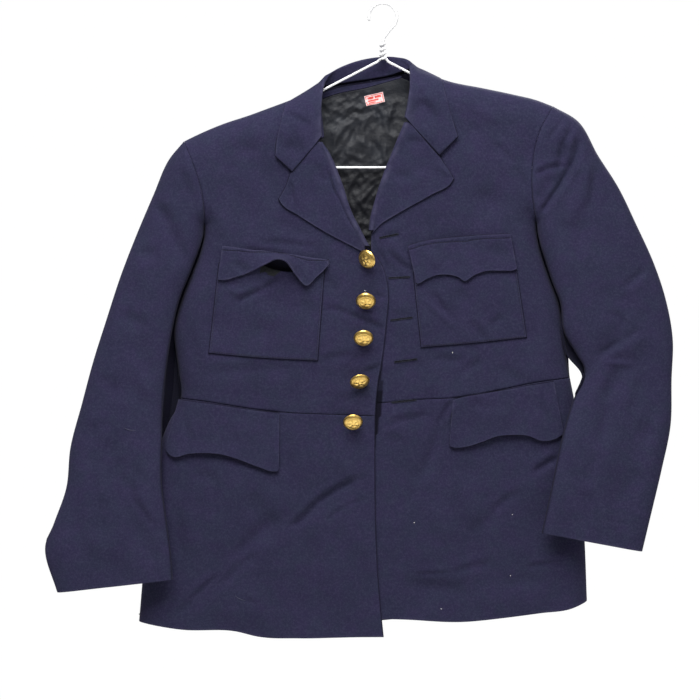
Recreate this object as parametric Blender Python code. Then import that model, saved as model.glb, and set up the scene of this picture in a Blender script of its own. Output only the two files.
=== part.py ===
"""A single-breasted military dress tunic, hung open on a wire hanger.

The origin is the inside top of the hanger's hook, +X is to the right as the tunic is seen
from the front, the front faces -Y and +Z is up. Tables give places in millimetres as x and
drop, where drop is measured down from the apex of the hanger. "Right" and "left" are the
wearer's, so the right half lies at -X.

The body and the sleeves are thin cloth shells. Their two faces meet at the folds, which are
the shoulder ridges, the sides and the edges of the sleeves, and round away from them over a
set distance. Whatever lies on a panel is made from the panel's own surface, moved out.
"""

import math

import bpy
import numpy as np

# ---- driving sizes, millimetres ------------------------------------------------------------

MILLIMETRE = 0.001
APEX_DROP = 70.0            # from the inside top of the hook down to the apex of the arms
CLOTH = 2.0                 # wool serge with its interlining
TRIM = 1.8                  # pockets and flaps
LINING = 1.0
LABEL = 0.6
SEAM = 0.3                  # clear distance between pieces that are sewn together

FRONT_DEPTH = 24.0          # how far the front stands before the plane of the folds
BACK_DEPTH = 16.0           # how far the back stands behind it
BODY_ROUND = 35.0           # distance from a fold over which the body rounds away
SLEEVE_ROUND = 24.0
OVERLAP_LIFT = 2.9          # the right front lies this far over the left front
LAPEL_LIFT = 2.8            # outer face of a lapel over the face of its front
POCKET_LIFT = 2.5
FLAP_LIFT = 5.0             # a breast flap lies over its pocket
CURLED_FLAP_LIFT = 5.8      # the right one, over the pocket that stands open
HIP_FLAP_LIFT = 2.9
LEAF_LIFT = 5.2             # the fall of the collar over the fronts and the back
LAPEL_PUFF = 1.6            # how much further a lapel stands out beside its roll
LINING_INSET = 14.0         # the lining ends this far inside the armholes and the sides
LINING_RIDGE_DROP = 16.8    # and this far below the left shoulder's ridge
LINING_HEM_RISE = 34.0      # and this far above the hem at the sides
LINING_HEM_SAG = 16.0       # its hem is this much lower at the centre

BUTTON_RADIUS = 12.6
SHANK_RADIUS = 2.0
BUTTON_STANDOFF = 8.6       # cloth to the middle of a button's back plate
BUTTON_SIDES = 14
BUTTON_PROFILE = ((10.6, 0), (BUTTON_RADIUS, 0.9), (BUTTON_RADIUS, 1.7), (11.5, 2.5), (9.2, 3.9),
                  (5.2, 5.1), (0, 5.6))     # radius, height from the rim of the back to the dome

WIRE = 3.2                  # diameter of the hanger's wire
ARM_SLOPE = 27.5            # degrees that the hanger's arms slope down
ARM_REACH = 192.0           # from the hook's axis to where an arm turns
BAR_DROP = 139.5            # from the apex of the arms down to the bar
ARM_TURN = 4.2              # half the width of the corner where the arms meet
HOOK_RADIUS = 18.0
HOOK_NECK = ((6.0, -37.0), (1.4, -44.0), (0.4, -52.0), (0.4, -62.0))    # x, z of its wire

# ---- outlines: x, drop ---------------------------------------------------------------------

SHOULDER_RIGHT = ((-88, 41.2), (-106, 51), (-124, 59), (-170, 72), (-206, 84), (-243, 100),
                  (-255, 106))
SHOULDER_LEFT = ((38, 15.0), (55, 22), (72, 28), (108, 35), (150, 44), (197, 53), (218, 61))
ARMHOLE_RIGHT = ((-255, 106), (-243, 134), (-231, 172), (-228, 200), (-229, 214))
ARMHOLE_LEFT = ((218, 61), (200, 94), (190, 144), (190, 170), (193, 195), (197, 210))
SIDE_RIGHT = ((-229, 214), (-234, 232), (-251, 275), (-265, 316), (-275, 356), (-281, 400),
              (-283, 433))
SIDE_LEFT = ((197, 210), (202, 229), (213, 261), (228, 309), (234, 340), (236, 375), (240, 409))
SKIRT_SIDE_RIGHT = ((-283, 433), (-286, 463), (-293, 520), (-305, 630), (-313, 722))
SKIRT_SIDE_LEFT = ((240, 409), (246, 440), (252, 515), (259, 617), (262, 696))
WAIST_RIGHT = ((-10, 458), (-68, 456), (-132, 453), (-180, 447), (-223, 440), (-283, 433))
WAIST_LEFT = ((-1, 441), (45, 437), (88, 435), (152, 424), (191, 416), (240, 409))
HEM_RIGHT = ((1, 740), (-29, 740), (-109, 742), (-159, 740), (-189, 733), (-255, 731), (-313, 722))
HEM_LEFT = ((-17, 717), (29, 718), (100, 721), (161, 715), (200, 710), (238, 705), (262, 696))
CREST_RIGHT = ((-80, 60), (-79, 84))        # the crest of the collar above each lapel
CREST_LEFT = ((33, 34), (32, 60))
ROLL_RIGHT = ((-80, 104), (-69, 122), (-54, 157), (-39, 201), (-28, 222), (-17, 242))
ROLL_LEFT = ((29, 79), (16, 111), (-1, 154), (-11, 186), (-16, 205), (-18, 222))
EDGE_RIGHT = ((-16, 246), (-5, 258), (3, 275), (7, 296), (5, 335), (0, 380), (-7, 421), (-10, 458))
EDGE_LEFT = ((-19, 227), (-15, 255), (-10, 290), (-6, 350), (-1, 441))
SKIRT_EDGE_RIGHT = ((-10, 458), (-10, 500), (-8, 625), (-4, 690), (1, 740))
SKIRT_EDGE_LEFT = ((-1, 441), (-3, 462), (-8, 504), (-13, 600), (-17, 717))
NECKLINE_RIGHT = ((-15, 26.6), (-34, 29.8), (-54, 33), (-74, 37), (-88, 41.2))
NECKLINE_LEFT = ((-15, 26.6), (5, 23), (24, 19), (38, 15.0))
CENTRE_BACK = ((-15, 26.6), (-14, 200), (-12, 440), (-16, 600), (-20, 724))
BACK_HEM_MIDDLE = (-20, 732)
BACK_HEM_RISE = 8.0         # the back's hem hangs this much above the fronts'

# sections of a sleeve: outer x, outer drop, inner x, inner drop, how far the outer and the
# inner fold stand before the plane of the body's folds
SLEEVE_RIGHT = (
    (-255, 106, -229, 214, 0, 0),
    (-274, 129, -233, 229, 0, 5),
    (-294, 174, -239, 247, 1, 11),
    (-316, 226, -248, 275, 3, 14),
    (-337, 281, -260, 309, 5, 16),
    (-354, 334, -269, 347, 8, 18),
    (-371, 389, -276, 392, 12, 19),
    (-385, 443, -281, 440, 17, 21),
    (-399, 498, -282, 490, 22, 26),
    (-404, 550, -282, 540, 27, 33),
    (-419, 594, -276, 586, 32, 39),
    (-430, 627, -270, 630, 36, 43),
    (-414, 682, -267, 665, 40, 45),
)
SLEEVE_LEFT = (
    (218, 61, 197, 210, 0, 0),
    (250, 80, 201, 224, 0, 5),
    (276, 124, 205, 241, 1, 11),
    (302, 165, 210, 262, 2, 14),
    (325, 213, 217, 288, 4, 16),
    (347, 262, 227, 315, 6, 17),
    (363, 312, 232, 347, 9, 17),
    (371, 362, 241, 380, 12, 17),
    (369, 410, 252, 400, 16, 18),
    (367, 470, 240, 444, 22, 25),
    (355, 526, 227, 488, 28, 34),
    (342, 578, 214, 548, 34, 40),
    (329, 630, 201, 606, 39, 44),
)
SLEEVE_HALF_DEPTH = (18.0, 11.0)    # at the top and at the cuff, before the plane of its folds
SLEEVE_BACK_DEPTH = (14.0, 10.0)    # the same behind it
ARMHOLE_BLEND = 0.22                # share of a sleeve over which the armhole's form fades

# stations of the collar, from the right end round the back of the neck to the left end:
# foot of the stand x, drop, y; crest of the fold x, drop, y; middle of the fall x, drop;
# edge of the fall x, drop. A y column is how far behind the plane of the folds the point lies.
COLLAR = (
    (-75, 102, -22, -78, 103, -28.5, -116, 147, -138, 127),
    (-77, 80, -18, -79, 80, -28.5, -111, 100, -136, 106),
    (-80, 57, -14, -78, 57, -25, -106, 72, -131, 84),
    (-82, 45, -7, -76, 38, -12, -101, 52, -127, 66),
    (-84, 39, 0, -71, 22, 0, -97, 39, -124, 55),
    (-76, 35, 7, -62, 14, 8, -88, 45, -116, 72),
    (-50, 30, 13, -42, 6, 12, -60, 44, -84, 86),
    (-13, 24.5, 13.5, -11, -1, 13, -11, 34, -11, 74),
    (12, 19.5, 12, 17, 0, 10, 32, 28, 56, 64),
    (26, 15, 6, 28, 3, 5, 48, 22, 75, 46),
    (34, 13, 0, 33, 6, 0, 53, 13, 74, 23),
    (34, 22, -7, 34, 17, -11, 55, 24, 78, 38),
    (34, 36, -14, 34, 36, -24, 58, 46, 83, 58),
    (31, 56, -18, 32, 57, -28.5, 61, 74, 90, 82),
    (27, 77, -22, 28, 78, -28.5, 72, 126, 96, 102),
)
FOLD_RADIUS = 3.0
FOLD_DEGREES = (20, 90, 160)
STAND_COLUMNS = 3
FALL_COLUMNS = 3            # on each side of the middle of the fall
COLLAR_ROWS_PER_STATION = 2

# the roll of a lapel: inward of the front's edge, out from the face of the front
LAPEL_ROLL = ((3.2, -1.6), (4.0, 0.9), (3.4, 3.2), (0.8, 4.9))
LAPEL_START = 2.5           # from there its fall starts this far outside the front's edge
ROLL_WIDTH = 3.4            # the front's own edge lies this far outside the visible roll
NECK_EDGE = 7.0             # and this far outside the crest of the collar

GORGE_RIGHT = ((-84, 109), (-116, 151))
NOTCH_RIGHT = ((-116, 151), (-125, 165), (-134, 181))
LEAD_RIGHT = ((-134, 181), (-130, 188), (-108, 203), (-63, 230), (-39, 242), (-22, 251))
GORGE_LEFT = ((33, 84), (71, 130.5))
NOTCH_LEFT = ((71, 130.5), (81, 141), (91, 155))
LEAD_LEFT = ((91, 155), (86, 163), (63, 176), (14, 203), (-1, 212), (-15, 226))

# pockets: top and bottom edges x, drop from the outer side to the front edge
POCKET_RIGHT = {
    "top": ((-210, 262), (-160, 265), (-133, 277), (-112, 279), (-92, 271), (-74, 269)),
    "bottom": ((-223, 378), (-160, 384), (-83, 388)),
    "gape": 3.5,
}
POCKET_LEFT = {
    "top": ((167, 247), (100, 253), (36, 257)),
    "bottom": ((184, 358), (110, 366), (48, 371)),
    "gape": 0.6,
}
# flaps: top x, drop; bottom x, drop, how far it stands out from where it would lie flat
BREAST_FLAP_RIGHT = (
    (-205, 241, -211, 285, 0.5),
    (-186, 243, -184, 280, 1),
    (-168, 246, -166, 273, 4),
    (-152, 247, -149, 264, 12),
    (-137, 249, -134, 257.5, 19),
    (-122, 251, -123, 261, 16),
    (-108, 253, -110, 279, 8),
    (-96, 255, -98, 292, 3),
    (-82, 257, -84, 280, 2),
    (-69, 259, -71, 267, 1),
)
BREAST_FLAP_LEFT = (
    (31, 240, 43, 291, 0.5),
    (48, 235, 56, 284, 0.6),
    (64, 232, 70, 279, 0.6),
    (78, 230.5, 86, 279, 0.8),
    (91, 229, 96, 282, 1),
    (104, 228, 104, 287, 1),
    (116, 227, 117, 279, 1),
    (132, 226, 132, 274, 0.8),
    (148, 225.5, 151, 273.5, 0.6),
    (162, 225, 171, 272, 0.5),
)
HIP_FLAP_RIGHT = (
    (-262, 436, -279, 503, 1),
    (-243, 438.5, -268, 511, 2),
    (-222, 441, -247, 507, 3),
    (-203, 444, -226, 506, 4),
    (-184, 447, -205, 508, 4),
    (-166, 449.5, -182, 515, 3),
    (-150, 451.5, -159, 524, 2),
    (-132, 453.5, -133, 531, 1),
)
HIP_FLAP_LEFT = (
    (89, 436, 84, 499, 1),
    (106, 432, 106, 498, 2),
    (124, 429, 126, 492, 3),
    (142, 426, 145, 485, 4),
    (160, 423, 164, 483, 4),
    (180, 419, 184, 484, 3),
    (198, 416, 205, 491, 2),
    (218, 413, 231, 483, 1),
)

# each button hangs in its own way: x, drop, degrees its face looks down, degrees it looks to +X
BUTTONS = (
    (-20, 258, 19, -36),
    (-22, 311, 36, -3),
    (-25, 358, 37, 0),
    (-30, 413, 45, 13),
    (-38.5, 465, 38, 3),
)

# soft folds of the cloth: from x, drop to x, drop, half width, depth (a ridge is negative)
FRONT_FOLDS = (
    (-116, 598, -34, 538, 12, 2.5),
    (-60, 470, -90, 700, 22, 3.0),
    (-190, 530, -200, 700, 26, -3.0),
    (-245, 700, -150, 596, 16, 2.5),
    (-180, 130, -110, 210, 26, 2.5),
    (60, 440, 70, 560, 16, 2.5),
    (120, 560, 140, 700, 26, -3.0),
    (40, 690, 190, 655, 16, 2.2),
    (186, 130, 120, 190, 24, 2.5),
    (-165, 392, -165, 445, 7, 1.6),
    (122, 372, 126, 425, 7, 1.6),
)
BACK_FOLDS = (
    (-200, 140, -60, 120, 20, 3.0),
    (150, 100, 30, 100, 20, 3.0),
    (-180, 300, -150, 640, 26, 3.5),
    (-60, 380, -70, 700, 24, -3.0),
    (60, 360, 90, 680, 26, 3.5),
    (180, 300, 190, 560, 22, -2.5),
)
SLEEVE_FOLDS = (
    (-290, 190, -250, 262, 10, 3.0),
    (-330, 300, -300, 400, 16, 2.5),
    (-330, 560, -292, 632, 14, 3.0),
    (-390, 470, -350, 500, 12, 2.0),
    (248, 112, 204, 208, 9, 3.5),
    (262, 140, 240, 205, 9, -2.5),
    (300, 350, 262, 398, 12, 3.0),
    (330, 380, 285, 430, 14, 3.0),
    (330, 480, 300, 560, 14, 2.0),
)

FOLD_END = 1.6              # a fold fades out over this many half widths past its ends

# where the grid lines of a panel lie, as shares of its width from the front edge to the side
# fold, and as shares of its height from the shoulder down
PANEL_COLUMNS = (0.0, 0.13, 0.28, 0.43, 0.58, 0.71, 0.82, 0.9, 0.955, 0.988, 1.0)
UNDERARM_SHARE = 0.34
SIDE_ROWS = (0.34, 0.42, 0.51, 0.6, 0.7, 0.8, 0.9, 1.0)
SKIRT_ROWS = (0.0, 0.14, 0.28, 0.42, 0.56, 0.7, 0.85, 1.0)
SLEEVE_COLUMNS = (0.0, 0.03, 0.11, 0.25, 0.5, 0.75, 0.89, 0.97, 1.0)
ARMHOLE_ROWS = tuple(UNDERARM_SHARE * share for share in SLEEVE_COLUMNS)
SLEEVE_ROWS = (0.0, 0.03, 0.07, 0.12, 0.17, 0.22, 0.28, 0.34, 0.4, 0.46, 0.52, 0.58, 0.64,
               0.7, 0.76, 0.82, 0.88, 0.94, 1.0)


# ---- curves and surfaces -------------------------------------------------------------------

def smooth(rows, steps=10):
    """Closely spaced points on a smooth curve through the rows of a table."""
    points = np.array(rows, float)
    gaps = np.linalg.norm(np.diff(points, axis=0), axis=1)[:, None]
    slopes = np.diff(points, axis=0) / gaps
    tangents = np.empty_like(points)
    tangents[0] = slopes[0]
    tangents[-1] = slopes[-1]
    tangents[1:-1] = (slopes[:-1] * gaps[1:] + slopes[1:] * gaps[:-1]) / (gaps[:-1] + gaps[1:])
    share = (np.arange(steps) / steps)[:, None]
    curve = []
    for k, gap in enumerate(gaps):
        curve.append(
            points[k] * (2 * share**3 - 3 * share**2 + 1)
            + tangents[k] * gap * (share**3 - 2 * share**2 + share)
            + points[k + 1] * (3 * share**2 - 2 * share**3)
            + tangents[k + 1] * gap * (share**3 - share**2)
        )
    return np.vstack(curve + [points[-1:]])


def along(rows, shares):
    """Points at the given shares of the length of the smooth curve through the rows."""
    curve = smooth(rows)
    lengths = np.concatenate([[0.0], np.cumsum(np.linalg.norm(np.diff(curve, axis=0), axis=1))])
    wanted = np.asarray(shares) * lengths[-1]
    return np.stack([np.interp(wanted, lengths, column) for column in curve.T], axis=1)


def coons(top, bottom, left, right, columns, rows):
    """A grid of points between four edges, whose ends meet at the corners."""
    u = np.asarray(columns)[None, :, None]
    v = np.asarray(rows)[:, None, None]
    ruled_down = (1 - v) * top[None] + v * bottom[None]
    ruled_across = (1 - u) * left[:, None] + u * right[:, None]
    corners = ((1 - u) * (1 - v) * top[0] + u * (1 - v) * top[-1]
               + (1 - u) * v * bottom[0] + u * v * bottom[-1])
    return ruled_down + ruled_across - corners


def fold_distance(points, line, inside):
    """Distance of each point from a line, negative beyond it from where the point inside lies.
    Past the line's two ends it is always positive."""
    starts = line[:-1]
    spans = line[1:] - starts
    offsets = points[..., None, :] - starts
    shares = (offsets * spans).sum(-1) / (spans**2).sum(-1)
    past_end = (shares[..., 0] < 0, shares[..., -1] > 1)
    shares = np.clip(shares, 0, 1)
    gaps = offsets - shares[..., None] * spans
    lengths = np.linalg.norm(gaps, axis=-1)
    nearest = lengths.argmin(-1)
    turn = spans[:, 0] * offsets[..., 1] - spans[:, 1] * offsets[..., 0]
    to_inside = np.asarray(inside) - starts
    home = np.sign(spans[:, 0] * to_inside[:, 1] - spans[:, 1] * to_inside[:, 0])
    pick = np.take_along_axis(turn * home, nearest[..., None], -1)[..., 0]
    length = np.take_along_axis(lengths, nearest[..., None], -1)[..., 0]
    last = len(starts) - 1
    at_end = ((nearest == 0) & past_end[0]) | ((nearest == last) & past_end[1])
    return np.where((pick >= 0) | at_end, length, -length)


def rounded(distance, depth, radius, lift):
    """Height of a face that rises from a fold as a quarter of an ellipse, moved out by lift."""
    share = np.clip((distance + lift) / (radius + lift), 0, 1)
    return (depth + lift) * np.sqrt(1 - (1 - share)**2)


def folds_at(points, table):
    """Depth of the soft folds at each point: a trough is positive."""
    total = np.zeros(points.shape[:-1])
    for x0, drop0, x1, drop1, half_width, depth in table:
        span = np.array((x1 - x0, drop1 - drop0), float)
        offset = points - np.array((x0, drop0), float)
        share = (offset * span).sum(-1) / (span**2).sum()
        across = np.abs(offset[..., 0] * span[1] - offset[..., 1] * span[0]) / np.linalg.norm(span)
        past = np.maximum(-share, share - 1) * np.linalg.norm(span)
        ends = np.clip(1 - past / (FOLD_END * half_width), 0, 1)
        fade = np.where((share < 0) | (share > 1), ends**2 * (3 - 2 * ends), 1.0)
        total += depth * np.exp(-(across / half_width)**2) * fade
    return total


def ease(value):
    """A smooth step from 0 to 1."""
    share = np.clip(value, 0, 1)
    return share**2 * (3 - 2 * share)


BODY_MIDDLE = (-20.0, 330.0)
SIDES = (smooth(SIDE_RIGHT + SKIRT_SIDE_RIGHT[1:]), smooth(SIDE_LEFT + SKIRT_SIDE_LEFT[1:]))
RIDGES = (smooth(SHOULDER_RIGHT), smooth(SHOULDER_LEFT))
NECK_RIDGES = (smooth(((-70, 32),) + SHOULDER_RIGHT), smooth(((20, 8.6),) + SHOULDER_LEFT))


def body_distance(points, ridges):
    lines = SIDES + ridges
    return np.min([fold_distance(points, line, BODY_MIDDLE) for line in lines], axis=0)


def front_y(points, lift=0.0, over=False):
    """The front's face. over is for the right front, which lies over the left one."""
    distance = body_distance(points, NECK_RIDGES)
    height = rounded(distance, FRONT_DEPTH, BODY_ROUND, lift)
    height = height - folds_at(points, FRONT_FOLDS) * ease(distance / BODY_ROUND)
    if over:
        height = height + OVERLAP_LIFT * ease((points[..., 0] + 90) / 50)
    return -height


def back_y(points, lift=0.0):
    distance = body_distance(points, RIDGES)
    height = rounded(distance, BACK_DEPTH, BODY_ROUND, lift)
    return height - folds_at(points, BACK_FOLDS) * ease(distance / BODY_ROUND)


def to_space(points, y):
    """Places given as x and drop, with a depth y, in space."""
    return np.stack([points[..., 0], y, -APEX_DROP - points[..., 1]], axis=-1)


# ---- solids --------------------------------------------------------------------------------

def material(name, colour, roughness, metallic=0.0):
    surface = bpy.data.materials.new(name)
    surface.use_nodes = True
    shader = surface.node_tree.nodes["Principled BSDF"]
    shader.inputs["Base Color"].default_value = (*colour, 1.0)
    shader.inputs["Roughness"].default_value = roughness
    shader.inputs["Metallic"].default_value = metallic
    return surface


def solid(name, vertices, faces, surface):
    """One named object from points in millimetres."""
    mesh = bpy.data.meshes.new(name)
    mesh.from_pydata([tuple(v * MILLIMETRE for v in vertex) for vertex in vertices], [], faces)
    mesh.materials.append(surface)
    mesh.shade_smooth()
    mesh.set_sharp_from_angle(angle=math.radians(50))
    item = bpy.data.objects.new(name, mesh)
    bpy.context.scene.collection.objects.link(item)
    return item


def grid_normals(grid):
    across = np.gradient(grid, axis=1)
    down = np.gradient(grid, axis=0)
    normals = np.cross(across, down)
    return normals / np.linalg.norm(normals, axis=-1, keepdims=True)


def flatten_edge(normals, grid, folds):
    """Along a fold the wall's thickness lies in the plane of the folds."""
    edges = (
        ("top", (0, slice(None)), (1, slice(None))),
        ("left", (slice(None), 0), (slice(None), 1)),
        ("right", (slice(None), -1), (slice(None), -2)),
    )
    for name, edge, inner in edges:
        if name not in folds:
            continue
        outward = grid[edge] - grid[inner]
        outward[..., 1] = 0
        outward /= np.linalg.norm(outward, axis=-1, keepdims=True)
        rows = folds[name]
        target = normals[edge]
        target[rows] = outward[rows]
        normals[edge] = target


def square_seam(normals, grid, rows):
    """Along the seam to a sleeve the wall's thickness has no part across the seam."""
    line = grid[rows][:, (0, 2)]
    tangent = np.gradient(line, axis=0)
    across = np.stack([tangent[:, 1], np.zeros(len(line)), -tangent[:, 0]], axis=1)
    across /= np.linalg.norm(across, axis=1, keepdims=True)
    squared = normals[rows]
    squared -= (squared * across).sum(1, keepdims=True) * across
    squared /= np.linalg.norm(squared, axis=1, keepdims=True)
    normals[rows] = squared


def wall(name, grid, thickness, surface, facing=None, folds=None, seam=None):
    """A closed wall whose outer face is the grid. facing is a rough outward direction, folds
    names the edges that lie on a fold, and seam picks the points sewn to a sleeve."""
    normals = grid_normals(grid)
    turned_over = facing is not None and (normals * np.asarray(facing)).sum() < 0
    if turned_over:
        normals = -normals
    if seam is not None:
        square_seam(normals, grid, seam)
    if folds:
        flatten_edge(normals, grid, folds)
    if turned_over:
        grid = grid[:, ::-1]
        normals = normals[:, ::-1]
    inner = grid - normals * thickness
    rows, columns = grid.shape[:2]
    count = rows * columns
    vertices = np.concatenate([grid.reshape(-1, 3), inner.reshape(-1, 3)])
    faces = []
    for r in range(rows - 1):
        for c in range(columns - 1):
            a = r * columns + c
            quad = (a, a + 1, a + 1 + columns, a + columns)
            faces.append(quad)
            faces.append(tuple(count + k for k in reversed(quad)))
    rim = ([c for c in range(columns)]
           + [r * columns + columns - 1 for r in range(1, rows)]
           + [(rows - 1) * columns + c for c in range(columns - 2, -1, -1)]
           + [r * columns for r in range(rows - 2, 0, -1)])
    for a, b in zip(rim, rim[1:] + rim[:1]):
        faces.append((b, a, count + a, count + b))
    return solid(name, vertices.tolist(), faces, surface)


def turned(name, profile, sides, surface):
    """A solid turned round its own Z axis from a profile of radius, height rows."""
    vertices = []
    faces = []
    for radius, height in profile[1:-1]:
        for k in range(sides):
            angle = 2 * math.pi * k / sides
            vertices.append((radius * math.cos(angle), radius * math.sin(angle), height))
    rings = len(profile) - 2
    vertices.append((0, 0, profile[0][1]))
    vertices.append((0, 0, profile[-1][1]))
    first = rings * sides
    last = first + 1
    for k in range(sides):
        after = (k + 1) % sides
        faces.append((first, after, k))
        for r in range(rings - 1):
            above = (r + 1) * sides
            faces.append((r * sides + k, r * sides + after, above + after, above + k))
        faces.append((last, (rings - 1) * sides + k, (rings - 1) * sides + after))
    return solid(name, vertices, faces, surface)


# ---- the body ------------------------------------------------------------------------------

def moved(rows, x=0.0, drop=0.0):
    return tuple((row[0] + x, row[1] + drop) for row in rows)


def beside_armhole(armhole, side, rows):
    """The outer edge of an upper panel: down the armhole, then down the side."""
    split = len(ARMHOLE_ROWS) - 1
    rows = np.asarray(rows)
    upper = along(armhole, rows[:split + 1] / rows[split])
    lower = along(side, (rows[split:] - rows[split]) / (1 - rows[split]))
    return np.vstack([upper, lower[1:]])


PANEL_ROWS = ARMHOLE_ROWS + SIDE_ROWS[1:]


def inner_edge(shoulder, crest, roll, edge, outward):
    """The edge of a front from the neck, under the roll of its lapel, down to the waist."""
    neck = moved(crest, outward * NECK_EDGE) + moved(roll, outward * ROLL_WIDTH)
    return along((shoulder[0],) + neck + edge[1:], PANEL_ROWS)


def upper_front(name, shoulder, armhole, side, waist, left, over, serge):
    """A front from the shoulder to the waist seam, whose inner edge is given as left."""
    rows = PANEL_ROWS
    columns = PANEL_COLUMNS
    left = left.copy()
    waist = moved(waist, drop=-SEAM / 2)
    right = beside_armhole(armhole, side, rows)
    top = along(shoulder, columns)
    bottom = along(waist, columns)
    left[-1] = bottom[0]
    right[-1] = bottom[-1]
    flat = coons(top, bottom, left, right, columns, rows)
    y = front_y(flat, over=over)
    below = np.arange(len(rows)) >= len(ARMHOLE_ROWS) - 1
    y[0] = -SEAM / 2
    y[below, -1] = -SEAM / 2
    folds = {"top": np.ones(len(columns), bool), "right": below}
    seam = (slice(0, len(ARMHOLE_ROWS)), -1)
    return wall(name, to_space(flat, y), CLOTH, serge, facing=(0, -1, 0), folds=folds, seam=seam)


def skirt_front(name, waist, hem, edge, side, over, serge):
    columns = PANEL_COLUMNS
    rows = SKIRT_ROWS
    top = along(moved(waist, drop=SEAM / 2), columns)
    bottom = along(hem, columns)
    left = along(edge, rows)
    right = along(side, rows)
    left[0] = top[0]
    right[0] = top[-1]
    flat = coons(top, bottom, left, right, columns, rows)
    y = front_y(flat, over=over)
    y[:, -1] = -SEAM / 2
    folds = {"right": np.ones(len(rows), bool)}
    return wall(name, to_space(flat, y), CLOTH, serge, facing=(0, -1, 0), folds=folds)


def back_half(name, neckline, shoulder, armhole, side, hem, outward, serge):
    """Half of the back, from the neck and the shoulder to the hem, beside the centre seam."""
    neck_columns = (0.0, 0.07, 0.14, 0.21, 0.28)
    shoulder_columns = (0.28, 0.4, 0.52, 0.64, 0.76, 0.86, 0.93, 0.98, 1.0)
    columns = neck_columns + shoulder_columns[1:]
    body_rows = (0.21, 0.27, 0.34, 0.41, 0.48, 0.56, 0.64, 0.72, 0.8, 0.9, 1.0)
    rows = tuple(r * body_rows[0] / ARMHOLE_ROWS[-1] for r in ARMHOLE_ROWS) + body_rows[1:]
    across_neck = along(neckline, np.asarray(neck_columns) / neck_columns[-1])
    shares = np.asarray(shoulder_columns)
    ridge = along(shoulder, (shares - shares[0]) / (shares[-1] - shares[0]))
    top = np.vstack([across_neck, ridge[1:]])
    left = along(CENTRE_BACK, rows)
    left[:, 0] += outward * SEAM / 2
    right = beside_armhole(armhole, side, rows)
    bottom = along(moved(hem, drop=-BACK_HEM_RISE), columns)
    top[0] = left[0]
    bottom[0] = left[-1]
    right[-1] = bottom[-1]
    flat = coons(top, bottom, left, right, columns, rows)
    y = back_y(flat)
    on_ridge = np.arange(len(columns)) >= len(neck_columns) - 1
    below = np.arange(len(rows)) >= len(ARMHOLE_ROWS) - 1
    y[0, on_ridge] = SEAM / 2
    y[below, -1] = SEAM / 2
    folds = {"top": on_ridge, "right": below}
    seam = (slice(0, len(ARMHOLE_ROWS)), -1)
    return wall(name, to_space(flat, y), CLOTH, serge, facing=(0, 1, 0), folds=folds, seam=seam)


# ---- sleeves -------------------------------------------------------------------------------

def sleeve_half(name, table, armhole, front, serge):
    """The top (front) or under (back) half of a sleeve, between its outer and inner folds."""
    table = np.array(table, float)
    outward = math.copysign(1.0, table[0, 0])
    columns = np.asarray(SLEEVE_COLUMNS)
    rows = np.asarray(SLEEVE_ROWS)
    sections = along(table, rows)
    outer = sections[:, 0:2]
    inner = sections[:, 2:4]
    u = columns[None, :, None]
    flat = (1 - u) * outer[:, None] + u * inner[:, None]
    seam = along(armhole, columns) + np.array((outward * SEAM, 0.0))
    fade = 1 - ease(rows / ARMHOLE_BLEND)
    flat = flat + fade[:, None, None] * (seam - flat[0])[None]
    middle = flat[len(rows) // 2, len(columns) // 2]
    outer_gap = fold_distance(flat, smooth(table[:, 0:2]), middle)
    inner_gap = fold_distance(flat, smooth(table[:, 2:4]), middle)
    gap = np.minimum(np.abs(outer_gap), np.abs(inner_gap))
    gap[:, 0] = 0
    gap[:, -1] = 0
    depths = SLEEVE_HALF_DEPTH if front else SLEEVE_BACK_DEPTH
    depth = (depths[0] + (depths[1] - depths[0]) * rows)[:, None]
    height = rounded(gap, 1.0, SLEEVE_ROUND, 0.0) * depth
    height = height - folds_at(flat, SLEEVE_FOLDS) * ease(gap / SLEEVE_ROUND)
    middle_y = -((1 - columns)[None] * sections[:, 4:5] + columns[None] * sections[:, 5:6])
    if front:
        y = middle_y - height
        body = front_y(seam)
    else:
        y = middle_y + height
        body = back_y(seam)
    body[0] = 0
    body[-1] = 0
    y = y + fade[:, None] * (body - y[0])[None]
    side = -1 if front else 1
    y[:, 0] += side * SEAM / 2
    y[:, -1] += side * SEAM / 2
    both = np.ones(len(rows), bool)
    folds = {"left": both, "right": both}
    seam = (0, slice(0, len(columns)))
    return wall(name, to_space(flat, y), CLOTH, serge, facing=(0, side, 0), folds=folds, seam=seam)


# ---- collar and lapels ---------------------------------------------------------------------

def push_out(points, lift):
    """Move points of the collar's fall out of the body, to lie lift from its faces."""
    flat = np.stack([points[..., 0], -APEX_DROP - points[..., 2]], axis=-1)
    y = points[..., 1]
    front = -front_y(flat, lift)
    back = back_y(flat, lift)
    outside = body_distance(flat, NECK_RIDGES) < -lift
    pushed = np.where(y < 0, -front, back)
    moved_points = points.copy()
    moved_points[..., 1] = np.where(outside, y, pushed)
    return moved_points


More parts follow.
